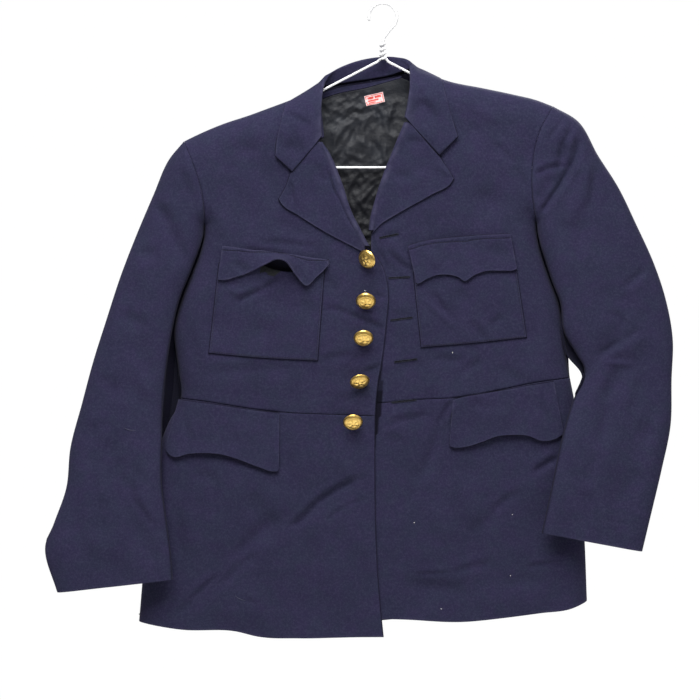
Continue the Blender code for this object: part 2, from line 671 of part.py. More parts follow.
def collar(serge):
    """The collar as one wall, from the edge of the fall over the fold to the foot of the stand."""
    table = np.array(COLLAR, float)
    count = (len(table) - 1) * COLLAR_ROWS_PER_STATION + 1
    lines = []
    for columns in ((0, 1, 2), (3, 4, 5), (6, 7), (8, 9)):
        curve = smooth(table[:, columns], steps=COLLAR_ROWS_PER_STATION)
        if len(columns) == 2:
            side = smooth(table[:, (3, 4, 5)], steps=COLLAR_ROWS_PER_STATION)[:, 2]
            curve = np.column_stack([curve, side])
        lines.append(to_space(curve[:, :2], curve[:, 2]))
    foot, crest, middle, edge = lines
    grid = []
    for r in range(count):
        fall = [edge[r] + (middle[r] - edge[r]) * k / FALL_COLUMNS for k in range(FALL_COLUMNS)]
        fall += [middle[r] + (crest[r] - middle[r]) * k / FALL_COLUMNS for k in range(FALL_COLUMNS)]
        fall = push_out(np.array(fall), LEAF_LIFT)
        down = fall[-1] - crest[r]
        down /= np.linalg.norm(down)
        inward = foot[r] - crest[r]
        inward -= down * inward.dot(down)
        inward /= np.linalg.norm(inward)
        centre = crest[r] + down * FOLD_RADIUS
        turn = [centre - FOLD_RADIUS * (math.cos(angle) * inward + math.sin(angle) * down)
                for angle in np.radians(FOLD_DEGREES)]
        stand = [turn[-1] + (foot[r] - turn[-1]) * k / STAND_COLUMNS
                 for k in range(1, STAND_COLUMNS + 1)]
        grid.append(list(fall) + turn + stand)
    return wall("collar", np.array(grid), CLOTH, serge, facing=None)


def lapel(name, gorge, notch, lead, roll, panel_edge, outward, over, serge):
    """A lapel from its roll, round the edge of its front, to its own edge."""
    gorge_columns = (0.0, 0.3, 0.62)
    columns = gorge_columns + (0.8, 1.0)
    rows = (0.0, 0.1, 0.22, 0.34, 0.46, 0.58, 0.7, 0.82, 0.92, 1.0)
    shares = np.asarray(columns)
    split = len(gorge_columns) - 1
    top = np.vstack([
        along(gorge, shares[:split + 1] / shares[split]),
        along(notch, (shares[split:] - shares[split]) / (1 - shares[split]))[1:],
    ])
    drops = gorge[0][1] + (roll[-1][1] - gorge[0][1]) * np.asarray(rows)
    edge = np.column_stack([np.interp(drops, panel_edge[:, 1], panel_edge[:, 0]), drops])
    edge_y = np.interp(drops, panel_edge[:, 1], front_y(panel_edge, over=over))
    left = edge + np.array((outward * LAPEL_START, 0.0))
    right = along(lead, rows)
    top[0] = left[0]
    bottom = left[-1] + (right[-1] - left[-1]) * shares[:, None]
    flat = coons(top, bottom, left, right, columns, rows)
    fall = []
    for c, share in enumerate(columns):
        lift = LAPEL_LIFT + LAPEL_PUFF * (1 - share)**2
        fall.append(to_space(flat[:, c], front_y(flat[:, c], lift, over)))
    turn = []
    for inward, out in LAPEL_ROLL:
        turn.append(to_space(edge - np.array((outward * inward, 0.0)), edge_y - out))
    grid = np.stack(turn + fall, axis=1)
    return wall(name, grid, CLOTH, serge, facing=(0, -1, 0))


# ---- pockets, flaps, buttons ---------------------------------------------------------------

def pocket(name, table, over, serge):
    """A patch pocket; its mouth stands open by gape in the middle."""
    columns = (0.0, 0.14, 0.32, 0.5, 0.68, 0.86, 1.0)
    rows = (0.0, 0.12, 0.3, 0.5, 0.75, 1.0)
    top = along(table["top"], columns)
    bottom = along(table["bottom"], columns)
    shares = np.asarray(rows)[:, None, None]
    flat = (1 - shares) * top[None] + shares * bottom[None]
    bulge = np.sin(np.pi * np.asarray(columns))[None]**2 * (1 - shares[..., 0])**2
    y = front_y(flat, POCKET_LIFT, over) - table["gape"] * bulge
    return wall(name, to_space(flat, y), TRIM, serge, facing=(0, -1, 0))


def flap(name, table, lift, over, serge, steps=2, rows=5):
    """A flap that hangs from its top edge, with a shaped lower edge that may stand out."""
    sections = smooth(table, steps=steps)
    shares = np.linspace(0, 1, rows)[:, None, None]
    top = sections[None, :, 0:2]
    bottom = sections[None, :, 2:4]
    flat = (1 - shares) * top + shares * bottom
    stand_out = sections[None, :, 4] * shares[..., 0]**1.5
    y = front_y(flat, lift, over) - stand_out
    return wall(name, to_space(flat, y), TRIM, serge, facing=(0, -1, 0))


def button(name, x, drop, droop_degrees, yaw_degrees, brass):
    """A domed button whose shank ends on the right front. Its face droops and turns aside."""
    cloth_y = float(front_y(np.array((x, drop), float), over=True))
    droop = math.radians(droop_degrees)
    yaw = math.radians(yaw_degrees)
    tilt = math.acos(math.cos(droop) * math.cos(yaw))
    shank = (BUTTON_STANDOFF - SEAM - SHANK_RADIUS * math.sin(tilt)) / math.cos(tilt)
    profile = ((0, -shank), (SHANK_RADIUS, -shank), (SHANK_RADIUS, 0)) + BUTTON_PROFILE
    item = turned(name, profile, BUTTON_SIDES, brass)
    item.rotation_euler = (math.pi / 2 + droop, 0, yaw)
    place = (x, cloth_y - BUTTON_STANDOFF, -APEX_DROP - drop)
    item.location = [value * MILLIMETRE for value in place]
    return item


# ---- inside the back -----------------------------------------------------------------------

FACING_TOP = ((-78, 42.5), (-54, 35), (-20, 29.5), (5, 25), (25, 20.4))
FACING_FOOT = ((-78, 51), (-65, 46), (-20, 36), (5, 29), (24, 23.6))
LINING_LIFT = -(CLOTH + LINING + 2.4)
FACING_LIFT = -(CLOTH + LINING + 1.0)
LINING_ARMHOLE_DROP = 6.0


def inside_back(flat, lift):
    return to_space(flat, back_y(flat, lift))


def neck_facing(serge):
    columns = np.linspace(0, 1, 12)
    rows = np.array((0.0, 0.5, 1.0))[:, None, None]
    flat = (1 - rows) * along(FACING_TOP, columns)[None] + rows * along(FACING_FOOT, columns)[None]
    return wall("back_neck_facing", inside_back(flat, FACING_LIFT), LINING, serge, facing=(0, -1, 0))


def lining_edge(armhole, side, inset, rows):
    """One side of the lining, along the armhole and the side, drawn up from the hem."""
    edge = along(moved(armhole, inset, LINING_ARMHOLE_DROP)[:-1] + moved(side, inset), rows)
    share = (edge[:, 1] - edge[0, 1]) / (edge[-1, 1] - edge[0, 1])
    edge[:, 1] -= share * LINING_HEM_RISE
    return edge


def back_lining(satin):
    """One sheet inside the back, from under the neck facing to above the hem."""
    inset = LINING_INSET
    neck_columns = (0.34, 0.42, 0.5, 0.58, 0.63)
    right_columns = (0.0, 0.03, 0.12, 0.23)
    left_columns = (0.72, 0.86, 0.97, 1.0)
    columns = right_columns + neck_columns + left_columns
    rows = (0.0, 0.02, 0.06, 0.12, 0.18, 0.26, 0.34, 0.44, 0.56, 0.7, 0.85, 1.0)
    shares = np.asarray(columns)
    neck = moved(FACING_FOOT, drop=SEAM)
    right_ridge = moved(SHOULDER_RIGHT[::-1], drop=inset)[:-1] + neck[:1]
    left_ridge = neck[-1:] + moved(SHOULDER_LEFT[1:], drop=LINING_RIDGE_DROP)
    first, last = neck_columns[0], neck_columns[-1]
    top = np.vstack([
        along(right_ridge, shares[shares < first] / first),
        along(neck, (np.asarray(neck_columns) - first) / (last - first)),
        along(left_ridge, (shares[shares > last] - last) / (1 - last)),
    ])
    left = lining_edge(ARMHOLE_RIGHT, SIDE_RIGHT + SKIRT_SIDE_RIGHT[1:], inset, rows)
    right = lining_edge(ARMHOLE_LEFT, SIDE_LEFT + SKIRT_SIDE_LEFT[1:], -inset, rows)
    top[0] = left[0]
    top[-1] = right[0]
    bottom = left[-1] + (right[-1] - left[-1]) * shares[:, None]
    bottom[:, 1] += LINING_HEM_SAG * np.sin(np.pi * shares)
    flat = coons(top, bottom, left, right, columns, rows)
    return wall("back_lining", inside_back(flat, LINING_LIFT), LINING, satin, facing=(0, -1, 0))


LABEL_TOP = ((-24, 47), (0, 41.5))
LABEL_FOOT = ((-21, 60), (3, 54.5))


def size_label(tape):
    columns = np.linspace(0, 1, 4)
    rows = np.array((0.0, 0.5, 1.0))[:, None, None]
    flat = (1 - rows) * along(LABEL_TOP, columns)[None] + rows * along(LABEL_FOOT, columns)[None]
    lift = LINING_LIFT - LABEL - SEAM
    return wall("size_label", inside_back(flat, lift), LABEL, tape, facing=(0, -1, 0))


# ---- the hanger ----------------------------------------------------------------------------

HOOK_DEGREES = range(195, -51, -15)         # round the hook from its tip
ARM_END_DEGREES = range(62, -91, -19)       # round the turn from an arm to the bar
ARM_END_INSET = 2.0


def hanger_route():
    """The wire's centre line as x, z: the hook's tip, its neck, an arm, the bar, the other arm."""
    radius = HOOK_RADIUS
    centre_z = WIRE / 2 - radius
    route = []
    for degrees in HOOK_DEGREES:
        angle = math.radians(degrees)
        route.append((radius * math.cos(angle), centre_z + radius * math.sin(angle)))
    route += HOOK_NECK
    slope = math.tan(math.radians(ARM_SLOPE))
    bar_z = -APEX_DROP - BAR_DROP
    bend = (BAR_DROP - ARM_REACH * slope) / 2
    arm = [(x, -APEX_DROP - x * slope) for x in (ARM_TURN, 0.3 * ARM_REACH, 0.65 * ARM_REACH)]
    for degrees in ARM_END_DEGREES:
        angle = math.radians(degrees)
        x = ARM_REACH - ARM_END_INSET + bend * math.cos(angle)
        arm.append((x, bar_z + bend * (1 + math.sin(angle))))
    bar = [(ARM_REACH * share, bar_z) for share in (0.6, 0.2, -0.2, -0.6)]
    return route + arm + bar + [(-x, z) for x, z in reversed(arm)]


def hanger(wire):
    route = hanger_route()
    curve = bpy.data.curves.new("hanger", "CURVE")
    curve.dimensions = "3D"
    curve.bevel_depth = WIRE / 2 * MILLIMETRE
    curve.bevel_resolution = 2
    curve.use_fill_caps = True
    spline = curve.splines.new("POLY")
    spline.points.add(len(route) - 1)
    for point, (x, z) in zip(spline.points, route):
        point.co = (x * MILLIMETRE, 0.0, z * MILLIMETRE, 1.0)
    curve.materials.append(wire)
    item = bpy.data.objects.new("hanger", curve)
    bpy.context.scene.collection.objects.link(item)
    return item


# ---- the tunic -----------------------------------------------------------------------------

def main():
    for item in list(bpy.context.scene.objects):
        bpy.data.objects.remove(item, do_unlink=True)
    serge = material("navy_serge", (0.032, 0.031, 0.072), 0.9)
    satin = material("black_satin", (0.02, 0.021, 0.027), 0.4)
    brass = material("gilt_brass", (0.75, 0.52, 0.16), 0.3, 1.0)
    tape = material("label_tape", (0.8, 0.72, 0.7), 0.8)
    wire = material("white_wire", (0.85, 0.85, 0.86), 0.35)

    edge_right = inner_edge(SHOULDER_RIGHT, CREST_RIGHT, ROLL_RIGHT, EDGE_RIGHT, -1)
    edge_left = inner_edge(SHOULDER_LEFT, CREST_LEFT, ROLL_LEFT, EDGE_LEFT, 1)
    upper_front("front_right_upper", SHOULDER_RIGHT, ARMHOLE_RIGHT, SIDE_RIGHT, WAIST_RIGHT,
                edge_right, True, serge)
    upper_front("front_left_upper", SHOULDER_LEFT, ARMHOLE_LEFT, SIDE_LEFT, WAIST_LEFT,
                edge_left, False, serge)
    skirt_front("skirt_front_right", WAIST_RIGHT, HEM_RIGHT, SKIRT_EDGE_RIGHT, SKIRT_SIDE_RIGHT,
                True, serge)
    skirt_front("skirt_front_left", WAIST_LEFT, HEM_LEFT, SKIRT_EDGE_LEFT, SKIRT_SIDE_LEFT,
                False, serge)
    back_half("back_right", NECKLINE_RIGHT, SHOULDER_RIGHT, ARMHOLE_RIGHT,
              SIDE_RIGHT + SKIRT_SIDE_RIGHT[1:], (BACK_HEM_MIDDLE,) + HEM_RIGHT[2:], -1, serge)
    back_half("back_left", NECKLINE_LEFT, SHOULDER_LEFT, ARMHOLE_LEFT,
              SIDE_LEFT + SKIRT_SIDE_LEFT[1:], (BACK_HEM_MIDDLE,) + HEM_LEFT[2:], 1, serge)

    sleeve_half("sleeve_right_top", SLEEVE_RIGHT, ARMHOLE_RIGHT, True, serge)
    sleeve_half("sleeve_right_under", SLEEVE_RIGHT, ARMHOLE_RIGHT, False, serge)
    sleeve_half("sleeve_left_top", SLEEVE_LEFT, ARMHOLE_LEFT, True, serge)
    sleeve_half("sleeve_left_under", SLEEVE_LEFT, ARMHOLE_LEFT, False, serge)

    collar(serge)
    lapel("lapel_right", GORGE_RIGHT, NOTCH_RIGHT, LEAD_RIGHT, ROLL_RIGHT, edge_right, -1, True,
          serge)
    lapel("lapel_left", GORGE_LEFT, NOTCH_LEFT, LEAD_LEFT, ROLL_LEFT, edge_left, 1, False, serge)
    pocket("breast_pocket_right", POCKET_RIGHT, True, serge)
    pocket("breast_pocket_left", POCKET_LEFT, False, serge)
    flap("breast_flap_right", BREAST_FLAP_RIGHT, CURLED_FLAP_LIFT, True, serge)
    flap("breast_flap_left", BREAST_FLAP_LEFT, FLAP_LIFT, False, serge)
    flap("hip_flap_right", HIP_FLAP_RIGHT, HIP_FLAP_LIFT, True, serge)
    flap("hip_flap_left", HIP_FLAP_LEFT, HIP_FLAP_LIFT, False, serge)
    for number, row in enumerate(BUTTONS, 1):
        button(f"button_{number}", *row, brass)

    neck_facing(serge)
    back_lining(satin)
    size_label(tape)
    hanger(wire)


main()
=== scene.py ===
"""Looks of a military dress tunic that hangs open on a wire hanger.

The cloth repeats the construction of the CAD solids on finer grids, and adds creases, rounded
edges, sunk seams, stitching and buttonholes. Tables give places in millimetres as x and drop,
where drop is measured down from the apex of the hanger. +X is to the right as the tunic is seen
from the front, the front faces -Y and +Z is up. "Right" and "left" are the wearer's, so the
right half lies at -X.
"""

import math

import bmesh
import bpy
import numpy as np
from mathutils import Matrix, Vector


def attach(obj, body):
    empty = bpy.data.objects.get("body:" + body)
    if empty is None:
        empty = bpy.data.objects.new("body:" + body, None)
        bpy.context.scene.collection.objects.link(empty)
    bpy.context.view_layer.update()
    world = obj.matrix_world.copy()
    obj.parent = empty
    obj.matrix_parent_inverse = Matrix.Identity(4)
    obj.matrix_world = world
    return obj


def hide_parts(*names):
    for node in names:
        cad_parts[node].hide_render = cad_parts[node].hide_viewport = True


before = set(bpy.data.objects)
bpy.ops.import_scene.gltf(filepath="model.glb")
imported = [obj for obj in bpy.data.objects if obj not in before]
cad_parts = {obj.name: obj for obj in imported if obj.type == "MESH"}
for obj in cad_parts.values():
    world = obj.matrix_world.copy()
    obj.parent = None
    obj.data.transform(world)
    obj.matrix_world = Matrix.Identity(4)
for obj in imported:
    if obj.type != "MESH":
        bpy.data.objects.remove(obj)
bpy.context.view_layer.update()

# ---- driving sizes, millimetres, as in the CAD solids --------------------------------------

MILLIMETRE = 0.001
APEX_DROP = 70.0            # from the inside top of the hook down to the apex of the arms
CLOTH = 2.0                 # wool serge with its interlining
TRIM = 1.8                  # pockets and flaps
LINING = 1.0
LABEL = 0.6
SEAM = 0.3                  # clear distance between pieces that are sewn together
FORWARD = (0, -1, 0)

FRONT_DEPTH = 24.0          # how far the front stands before the plane of the folds
BACK_DEPTH = 16.0           # how far the back stands behind it
BODY_ROUND = 35.0           # distance from a fold over which the body rounds away
SLEEVE_ROUND = 24.0
OVERLAP_LIFT = 2.9          # the right front lies this far over the left front
OVERLAP_START = -90.0       # from this x on,
OVERLAP_BLEND = 50.0        # growing over this width
LAPEL_LIFT = 2.8            # outer face of a lapel over the face of its front
POCKET_LIFT = 2.5
FLAP_LIFT = 5.0             # a breast flap lies over its pocket
CURLED_FLAP_LIFT = 5.8      # the right one, over the pocket that stands open
HIP_FLAP_LIFT = 2.9
LEAF_LIFT = 5.2             # the fall of the collar over the fronts and the back
LAPEL_PUFF = 1.6            # how much further a lapel stands out beside its roll
LINING_INSET = 14.0         # the lining ends this far inside the armholes and the sides
LINING_RIDGE_DROP = 16.8    # and this far below the left shoulder's ridge
LINING_HEM_RISE = 34.0      # and this far above the hem at the sides
LINING_HEM_SAG = 16.0       # its hem is this much lower at the centre

BUTTON_RADIUS = 12.6
SHANK_RADIUS = 2.0
BUTTON_STANDOFF = 8.6       # cloth to the middle of a button's back plate

WIRE = 3.2                  # diameter of the hanger's wire
ARM_SLOPE = 27.5            # degrees that the hanger's arms slope down
ARM_REACH = 192.0           # from the hook's axis to where an arm turns
BAR_DROP = 139.5            # from the apex of the arms down to the bar
ARM_TURN = 4.2              # half the width of the corner where the arms meet
HOOK_RADIUS = 18.0
HOOK_NECK = ((6.0, -37.0), (1.4, -44.0), (0.4, -52.0), (0.4, -62.0))    # x, z of its wire

# ---- outlines: x, drop ---------------------------------------------------------------------

SHOULDER_RIGHT = ((-88, 41.2), (-106, 48), (-123, 54.6), (-151, 65), (-170, 72), (-206, 84),
                  (-243, 100), (-255, 106))
SHOULDER_LEFT = ((38, 15.0), (55, 19.5), (70, 24), (87, 29.4), (127, 37.4), (168, 46), (197, 53),
                 (218, 61))
ARMHOLE_RIGHT = ((-255, 106), (-243, 134), (-231, 172), (-228, 200), (-229, 214))
ARMHOLE_LEFT = ((218, 61), (200, 94), (190, 144), (190, 170), (193, 195), (197, 210))
SIDE_RIGHT = ((-229, 214), (-234, 232), (-251, 275), (-265, 316), (-275, 356), (-281, 400),
              (-283, 433))
SIDE_LEFT = ((197, 210), (202, 229), (213, 261), (228, 309), (234, 340), (236, 375), (240, 409))
SKIRT_SIDE_RIGHT = ((-283, 433), (-286, 463), (-293, 520), (-305, 630), (-313, 722))
SKIRT_SIDE_LEFT = ((240, 409), (246, 440), (252, 515), (259, 617), (262, 696))
WAIST_RIGHT = ((-10, 458), (-68, 456), (-132, 453), (-180, 447), (-223, 440), (-259.5, 435.6))
WAIST_LEFT = ((-12, 441.5), (-1, 441), (45, 437), (88, 435), (152, 424), (191, 416), (240, 409))
HEM_RIGHT = ((1, 740), (-29, 740), (-109, 742), (-159, 740), (-189, 733), (-255, 731), (-313, 722))
HEM_LEFT = ((-17, 717), (29, 718), (100, 721), (161, 715), (200, 710), (238, 705), (262, 696))
CREST_RIGHT = ((-80, 60), (-79, 84))        # the crest of the collar above each lapel
CREST_LEFT = ((33, 34), (32, 60))
ROLL_RIGHT = ((-80, 104), (-69, 122), (-54, 157), (-39, 201), (-28, 222), (-17, 242))
ROLL_LEFT = ((29, 79), (16, 111), (-1, 154), (-11, 186), (-16, 205), (-18, 222))
EDGE_RIGHT = ((-16, 246), (-5, 258), (3, 275), (7, 296), (5, 335), (0, 380), (-7, 421), (-10, 458))
EDGE_LEFT = ((-19, 227), (-15, 255), (-10, 290), (-7, 350), (-9, 400), (-12, 441.5))
SKIRT_EDGE_RIGHT = ((-10, 458), (-10, 500), (-8, 625), (-4, 690), (1, 740))
SKIRT_EDGE_LEFT = ((-12, 441.5), (-14, 470), (-16, 504), (-17, 600), (-17, 717))
NECKLINE_RIGHT = ((-15, 26.6), (-34, 29.8), (-54, 33), (-74, 37), (-88, 41.2))
NECKLINE_LEFT = ((-15, 26.6), (5, 23), (24, 19), (38, 15.0))
CENTRE_BACK = ((-15, 26.6), (-14, 200), (-12, 440), (-16, 600), (-20, 724))
BACK_HEM_MIDDLE = (-20, 732)
BACK_HEM_RISE = 8.0         # the back's hem hangs this much above the fronts'
# the side edges of the fronts draw in beside the sleeves, and those of the backs do not
FRONT_SIDE_RIGHT = ((-229, 214), (-229.6, 228), (-234, 247), (-244.6, 275), (-258, 309), (-267.5, 347),
                    (-263, 396), (-259.5, 435.6))
FRONT_SKIRT_SIDE_RIGHT = ((-259.5, 435.6), (-262.5, 444), (-275, 467), (-283, 486), (-292, 520),
                          (-305, 630), (-313, 722))
FRONT_SIDE_LEFT = ((197, 210), (197.6, 224), (200.5, 241), (206.8, 262), (216, 288), (226, 315),
                   (231, 347), (235, 378), (240, 409))
BACK_SIDE_RIGHT = ((-229, 214), (-235, 230), (-243, 247), (-254, 275), (-267, 316), (-276, 356),
                   (-281, 400)) + SKIRT_SIDE_RIGHT[:-1] + ((-312.2, 722 - BACK_HEM_RISE),)
BACK_SIDE_LEFT = ((197, 210), (203, 226), (210, 244), (216, 262), (224, 288), (232, 320), (236, 350),
                  (238, 378)) + SKIRT_SIDE_LEFT[:-1] + ((261.8, 696 - BACK_HEM_RISE),)
BODY_MIDDLE = (-20.0, 330.0)

# sections of a sleeve: outer x, outer drop, inner x, inner drop, how far the outer and the
# inner fold stand before the plane of the body's folds
SLEEVE_RIGHT = (
    (-255, 106, -229, 214, 0, 0),
    (-274, 129, -230.5, 228, 0, 5),
    (-294, 174, -236, 247, 1, 11),
    (-316, 226, -246.5, 275, 3, 14),
    (-337, 281, -260, 309, 5, 16),
    (-354, 334, -269, 347, 8, 18),
    (-371, 389, -276, 392, 12, 19),
    (-385, 443, -281, 440, 17, 21),
    (-399, 498, -282, 490, 22, 26),
    (-404, 550, -282, 540, 27, 33),
    (-419, 594, -276, 586, 32, 39),
    (-430, 627, -270, 630, 36, 43),
    (-414, 682, -267, 665, 40, 45),
)
SLEEVE_LEFT = (
    (218, 61, 197, 210, 0, 0),
    (250, 80, 198.5, 224, 0, 5),
    (276, 124, 202, 241, 1, 11),
    (302, 165, 208.5, 262, 2, 14),
    (325, 213, 217, 288, 4, 16),
    (347, 262, 227, 315, 6, 17),
    (363, 312, 231, 350, 9, 17),
    (371, 362, 247.5, 380, 12, 17),
    (369, 410, 257, 399, 16, 18),
    (367, 470, 240, 444, 22, 25),
    (355, 526, 227, 488, 28, 34),
    (342, 578, 214, 548, 34, 40),
    (329, 630, 201, 606, 39, 44),
)
# the left under sleeve shows beside the top one above the open gap
SLEEVE_LEFT_UNDER = SLEEVE_LEFT[:6] + (
    (363, 312, 228, 347, 9, 17),
    (371, 362, 234, 379, 12, 17),
    (369, 410, 254, 406, 16, 18),
) + SLEEVE_LEFT[9:]
SLEEVE_HALF_DEPTH = (18.0, 11.0)    # at the top and at the cuff, before the plane of its folds
SLEEVE_BACK_DEPTH = (14.0, 10.0)    # the same behind it
ARMHOLE_BLEND = 0.22                # share of a sleeve over which the armhole's form fades

# stations of the collar, from the right end round the back of the neck to the left end:
# foot of the stand x, drop, y; crest of the fold x, drop, y; middle of the fall x, drop;
# edge of the fall x, drop. A y column is how far behind the plane of the folds the point lies.
COLLAR = (
    (-75, 102, -22, -78, 103, -28.5, -116, 147, -138, 127),
    (-77, 80, -18, -79, 80, -28.5, -111, 100, -136, 106),
    (-80, 57, -14, -78, 57, -25, -106, 72, -131, 84),
    (-82, 45, -7, -76, 38, -12, -101, 52, -127, 66),
    (-84, 39, 0, -71, 22, 0, -97, 39, -124, 55),
    (-76, 35, 7, -62, 14, 8, -88, 45, -116, 72),
    (-50, 30, 13, -42, 4.5, 12, -60, 44, -84, 86),
    (-13, 24.5, 13.5, -11, -3, 13, -11, 34, -11, 74),
    (12, 19.5, 12, 17, -3, 10, 32, 28, 56, 64),
    (26, 15, 6, 28, 0.5, 5, 48, 22, 75, 46),
    (34, 13, 0, 33, 6, 0, 53, 13, 74, 23),
    (34, 22, -7, 34, 17, -11, 55, 24, 78, 38),
    (34, 36, -14, 34, 36, -24, 58, 46, 83, 58),
    (31, 56, -18, 32, 57, -28.5, 61, 74, 90, 82),
    (27, 77, -22, 28, 78, -28.5, 72, 126, 96, 102),
)
FOLD_RADIUS = 3.0

# the roll of a lapel: inward of the front's edge, out from the face of the front
LAPEL_ROLL = ((3.2, -1.6), (4.0, 0.9), (3.4, 3.2), (0.8, 4.9))
LAPEL_START = 2.5           # from there its fall starts this far outside the front's edge
ROLL_WIDTH = 3.4            # the front's own edge lies this far outside the visible roll
NECK_EDGE = 7.0             # and this far outside the crest of the collar

GORGE_RIGHT = ((-85.5, 107.8), (-119, 148.6))
NOTCH_RIGHT = ((-119, 148.6), (-125, 165), (-134, 181))
LEAD_RIGHT = ((-134, 181), (-130, 188), (-108, 203), (-63, 230), (-39, 242), (-22, 251))
GORGE_LEFT = ((34.2, 82.8), (73.5, 128))
NOTCH_LEFT = ((73.5, 128), (82, 140.5), (91, 155))
LEAD_LEFT = ((91, 155), (86, 163), (63, 176), (14, 203), (-1, 212), (-15, 226))

# pockets: top and bottom edges x, drop from the outer side to the front edge
POCKET_RIGHT = {
    "top": ((-210, 262), (-160, 263), (-138, 271), (-116, 273.5), (-96, 269.5), (-74, 269)),
    "bottom": ((-223, 378), (-160, 384), (-83, 388)),
    "gape": 3.5,
}
POCKET_LEFT = {
    "top": ((167, 247), (100, 253), (36, 257)),
    "bottom": ((184, 358), (110, 366), (48, 371)),
    "gape": 0.6,
}
# flaps: top x, drop; bottom x, drop, how far it stands out from where it would lie flat
BREAST_FLAP_RIGHT = (
    (-205, 241, -211, 285, 0.5),
    (-186, 243, -184, 280, 1),
    (-168, 246, -166, 273, 4),
    (-152, 247, -149, 264, 12),
    (-137, 249, -134, 257.5, 19),
    (-122, 251, -123, 261, 16),
    (-108, 253, -110, 279, 8),
    (-96, 255, -98, 292, 3),
    (-82, 257, -84, 280, 2),
    (-69, 259, -71, 267, 1),
)
BREAST_FLAP_LEFT = (
    (31, 240, 43, 291, 0.5),
    (48, 235, 56, 284, 0.6),
    (64, 232, 70, 279, 0.6),
    (78, 230.5, 86, 279, 0.8),
    (91, 229, 96, 282, 1),
    (104, 228, 104, 287, 1),
    (116, 227, 117, 279, 1),
    (132, 226, 132, 274, 0.8),
    (148, 225.5, 151, 273.5, 0.6),
    (162, 225, 171, 272, 0.5),
)
HIP_FLAP_RIGHT = (
    (-262, 436, -279, 503, 1),
    (-243, 438.5, -268, 511, 2),
    (-222, 441, -247, 507, 3),
    (-203, 444, -226, 506, 4),
    (-184, 447, -205, 508, 4),
    (-166, 449.5, -182, 515, 3),
    (-150, 451.5, -159, 524, 2),
    (-132, 453.5, -133, 531, 1),
)
HIP_FLAP_LEFT = (
    (89, 436, 84, 499, 1),
    (106, 432, 106, 498, 2),
    (124, 429, 126, 492, 3),
    (142, 426, 145, 485, 4),
    (160, 423, 164, 483, 4),
    (180, 419, 184, 484, 3),
    (198, 416, 205, 491, 2),
    (218, 413, 231, 483, 1),
)

# each button hangs in its own way: x, drop, degrees its face looks down, degrees it looks to +X
BUTTONS = (
    (-20, 258, 19, -36),
    (-22, 311, 36, -3),
    (-25, 358, 37, 0),
    (-30, 413, 45, 13),
    (-38.5, 465, 38, 3),
)

# soft folds of the cloth: from x, drop to x, drop, half width, depth (a ridge is negative)
FRONT_FOLDS = (
    (-116, 598, -34, 538, 12, 2.5),
    (-60, 470, -90, 700, 22, 3.0),
    (-190, 530, -200, 700, 26, -3.0),
    (-245, 700, -150, 596, 16, 2.5),
    (-180, 130, -110, 210, 26, 2.5),
    (60, 440, 70, 560, 16, 2.5),
    (120, 560, 140, 700, 26, -3.0),
    (40, 690, 190, 655, 16, 2.2),
    (186, 130, 120, 190, 24, 2.5),
    (-165, 392, -165, 445, 7, 1.6),
    (122, 372, 126, 425, 7, 1.6),
)
BACK_FOLDS = (
    (-200, 140, -60, 120, 20, 3.0),
    (150, 100, 30, 100, 20, 3.0),
    (-180, 300, -150, 640, 26, 3.5),
    (-60, 380, -70, 700, 24, -3.0),
    (60, 360, 90, 680, 26, 3.5),
    (180, 300, 190, 560, 22, -2.5),
)
SLEEVE_FOLDS = (
    (-290, 190, -250, 262, 10, 3.0),
    (-330, 300, -300, 400, 16, 2.5),
    (-330, 560, -292, 632, 14, 3.0),
    (-390, 470, -350, 500, 12, 2.0),
    (248, 112, 204, 208, 9, 3.5),
    (262, 140, 240, 205, 9, -2.5),
    (300, 350, 262, 398, 12, 3.0),
    (330, 380, 285, 430, 14, 3.0),
    (330, 480, 300, 560, 14, 2.0),
)

FOLD_END = 1.6              # a fold fades out over this many half widths past its ends

# ---- finer form: x, drop to x, drop, half width, depth (a ridge is negative), bow sideways ------

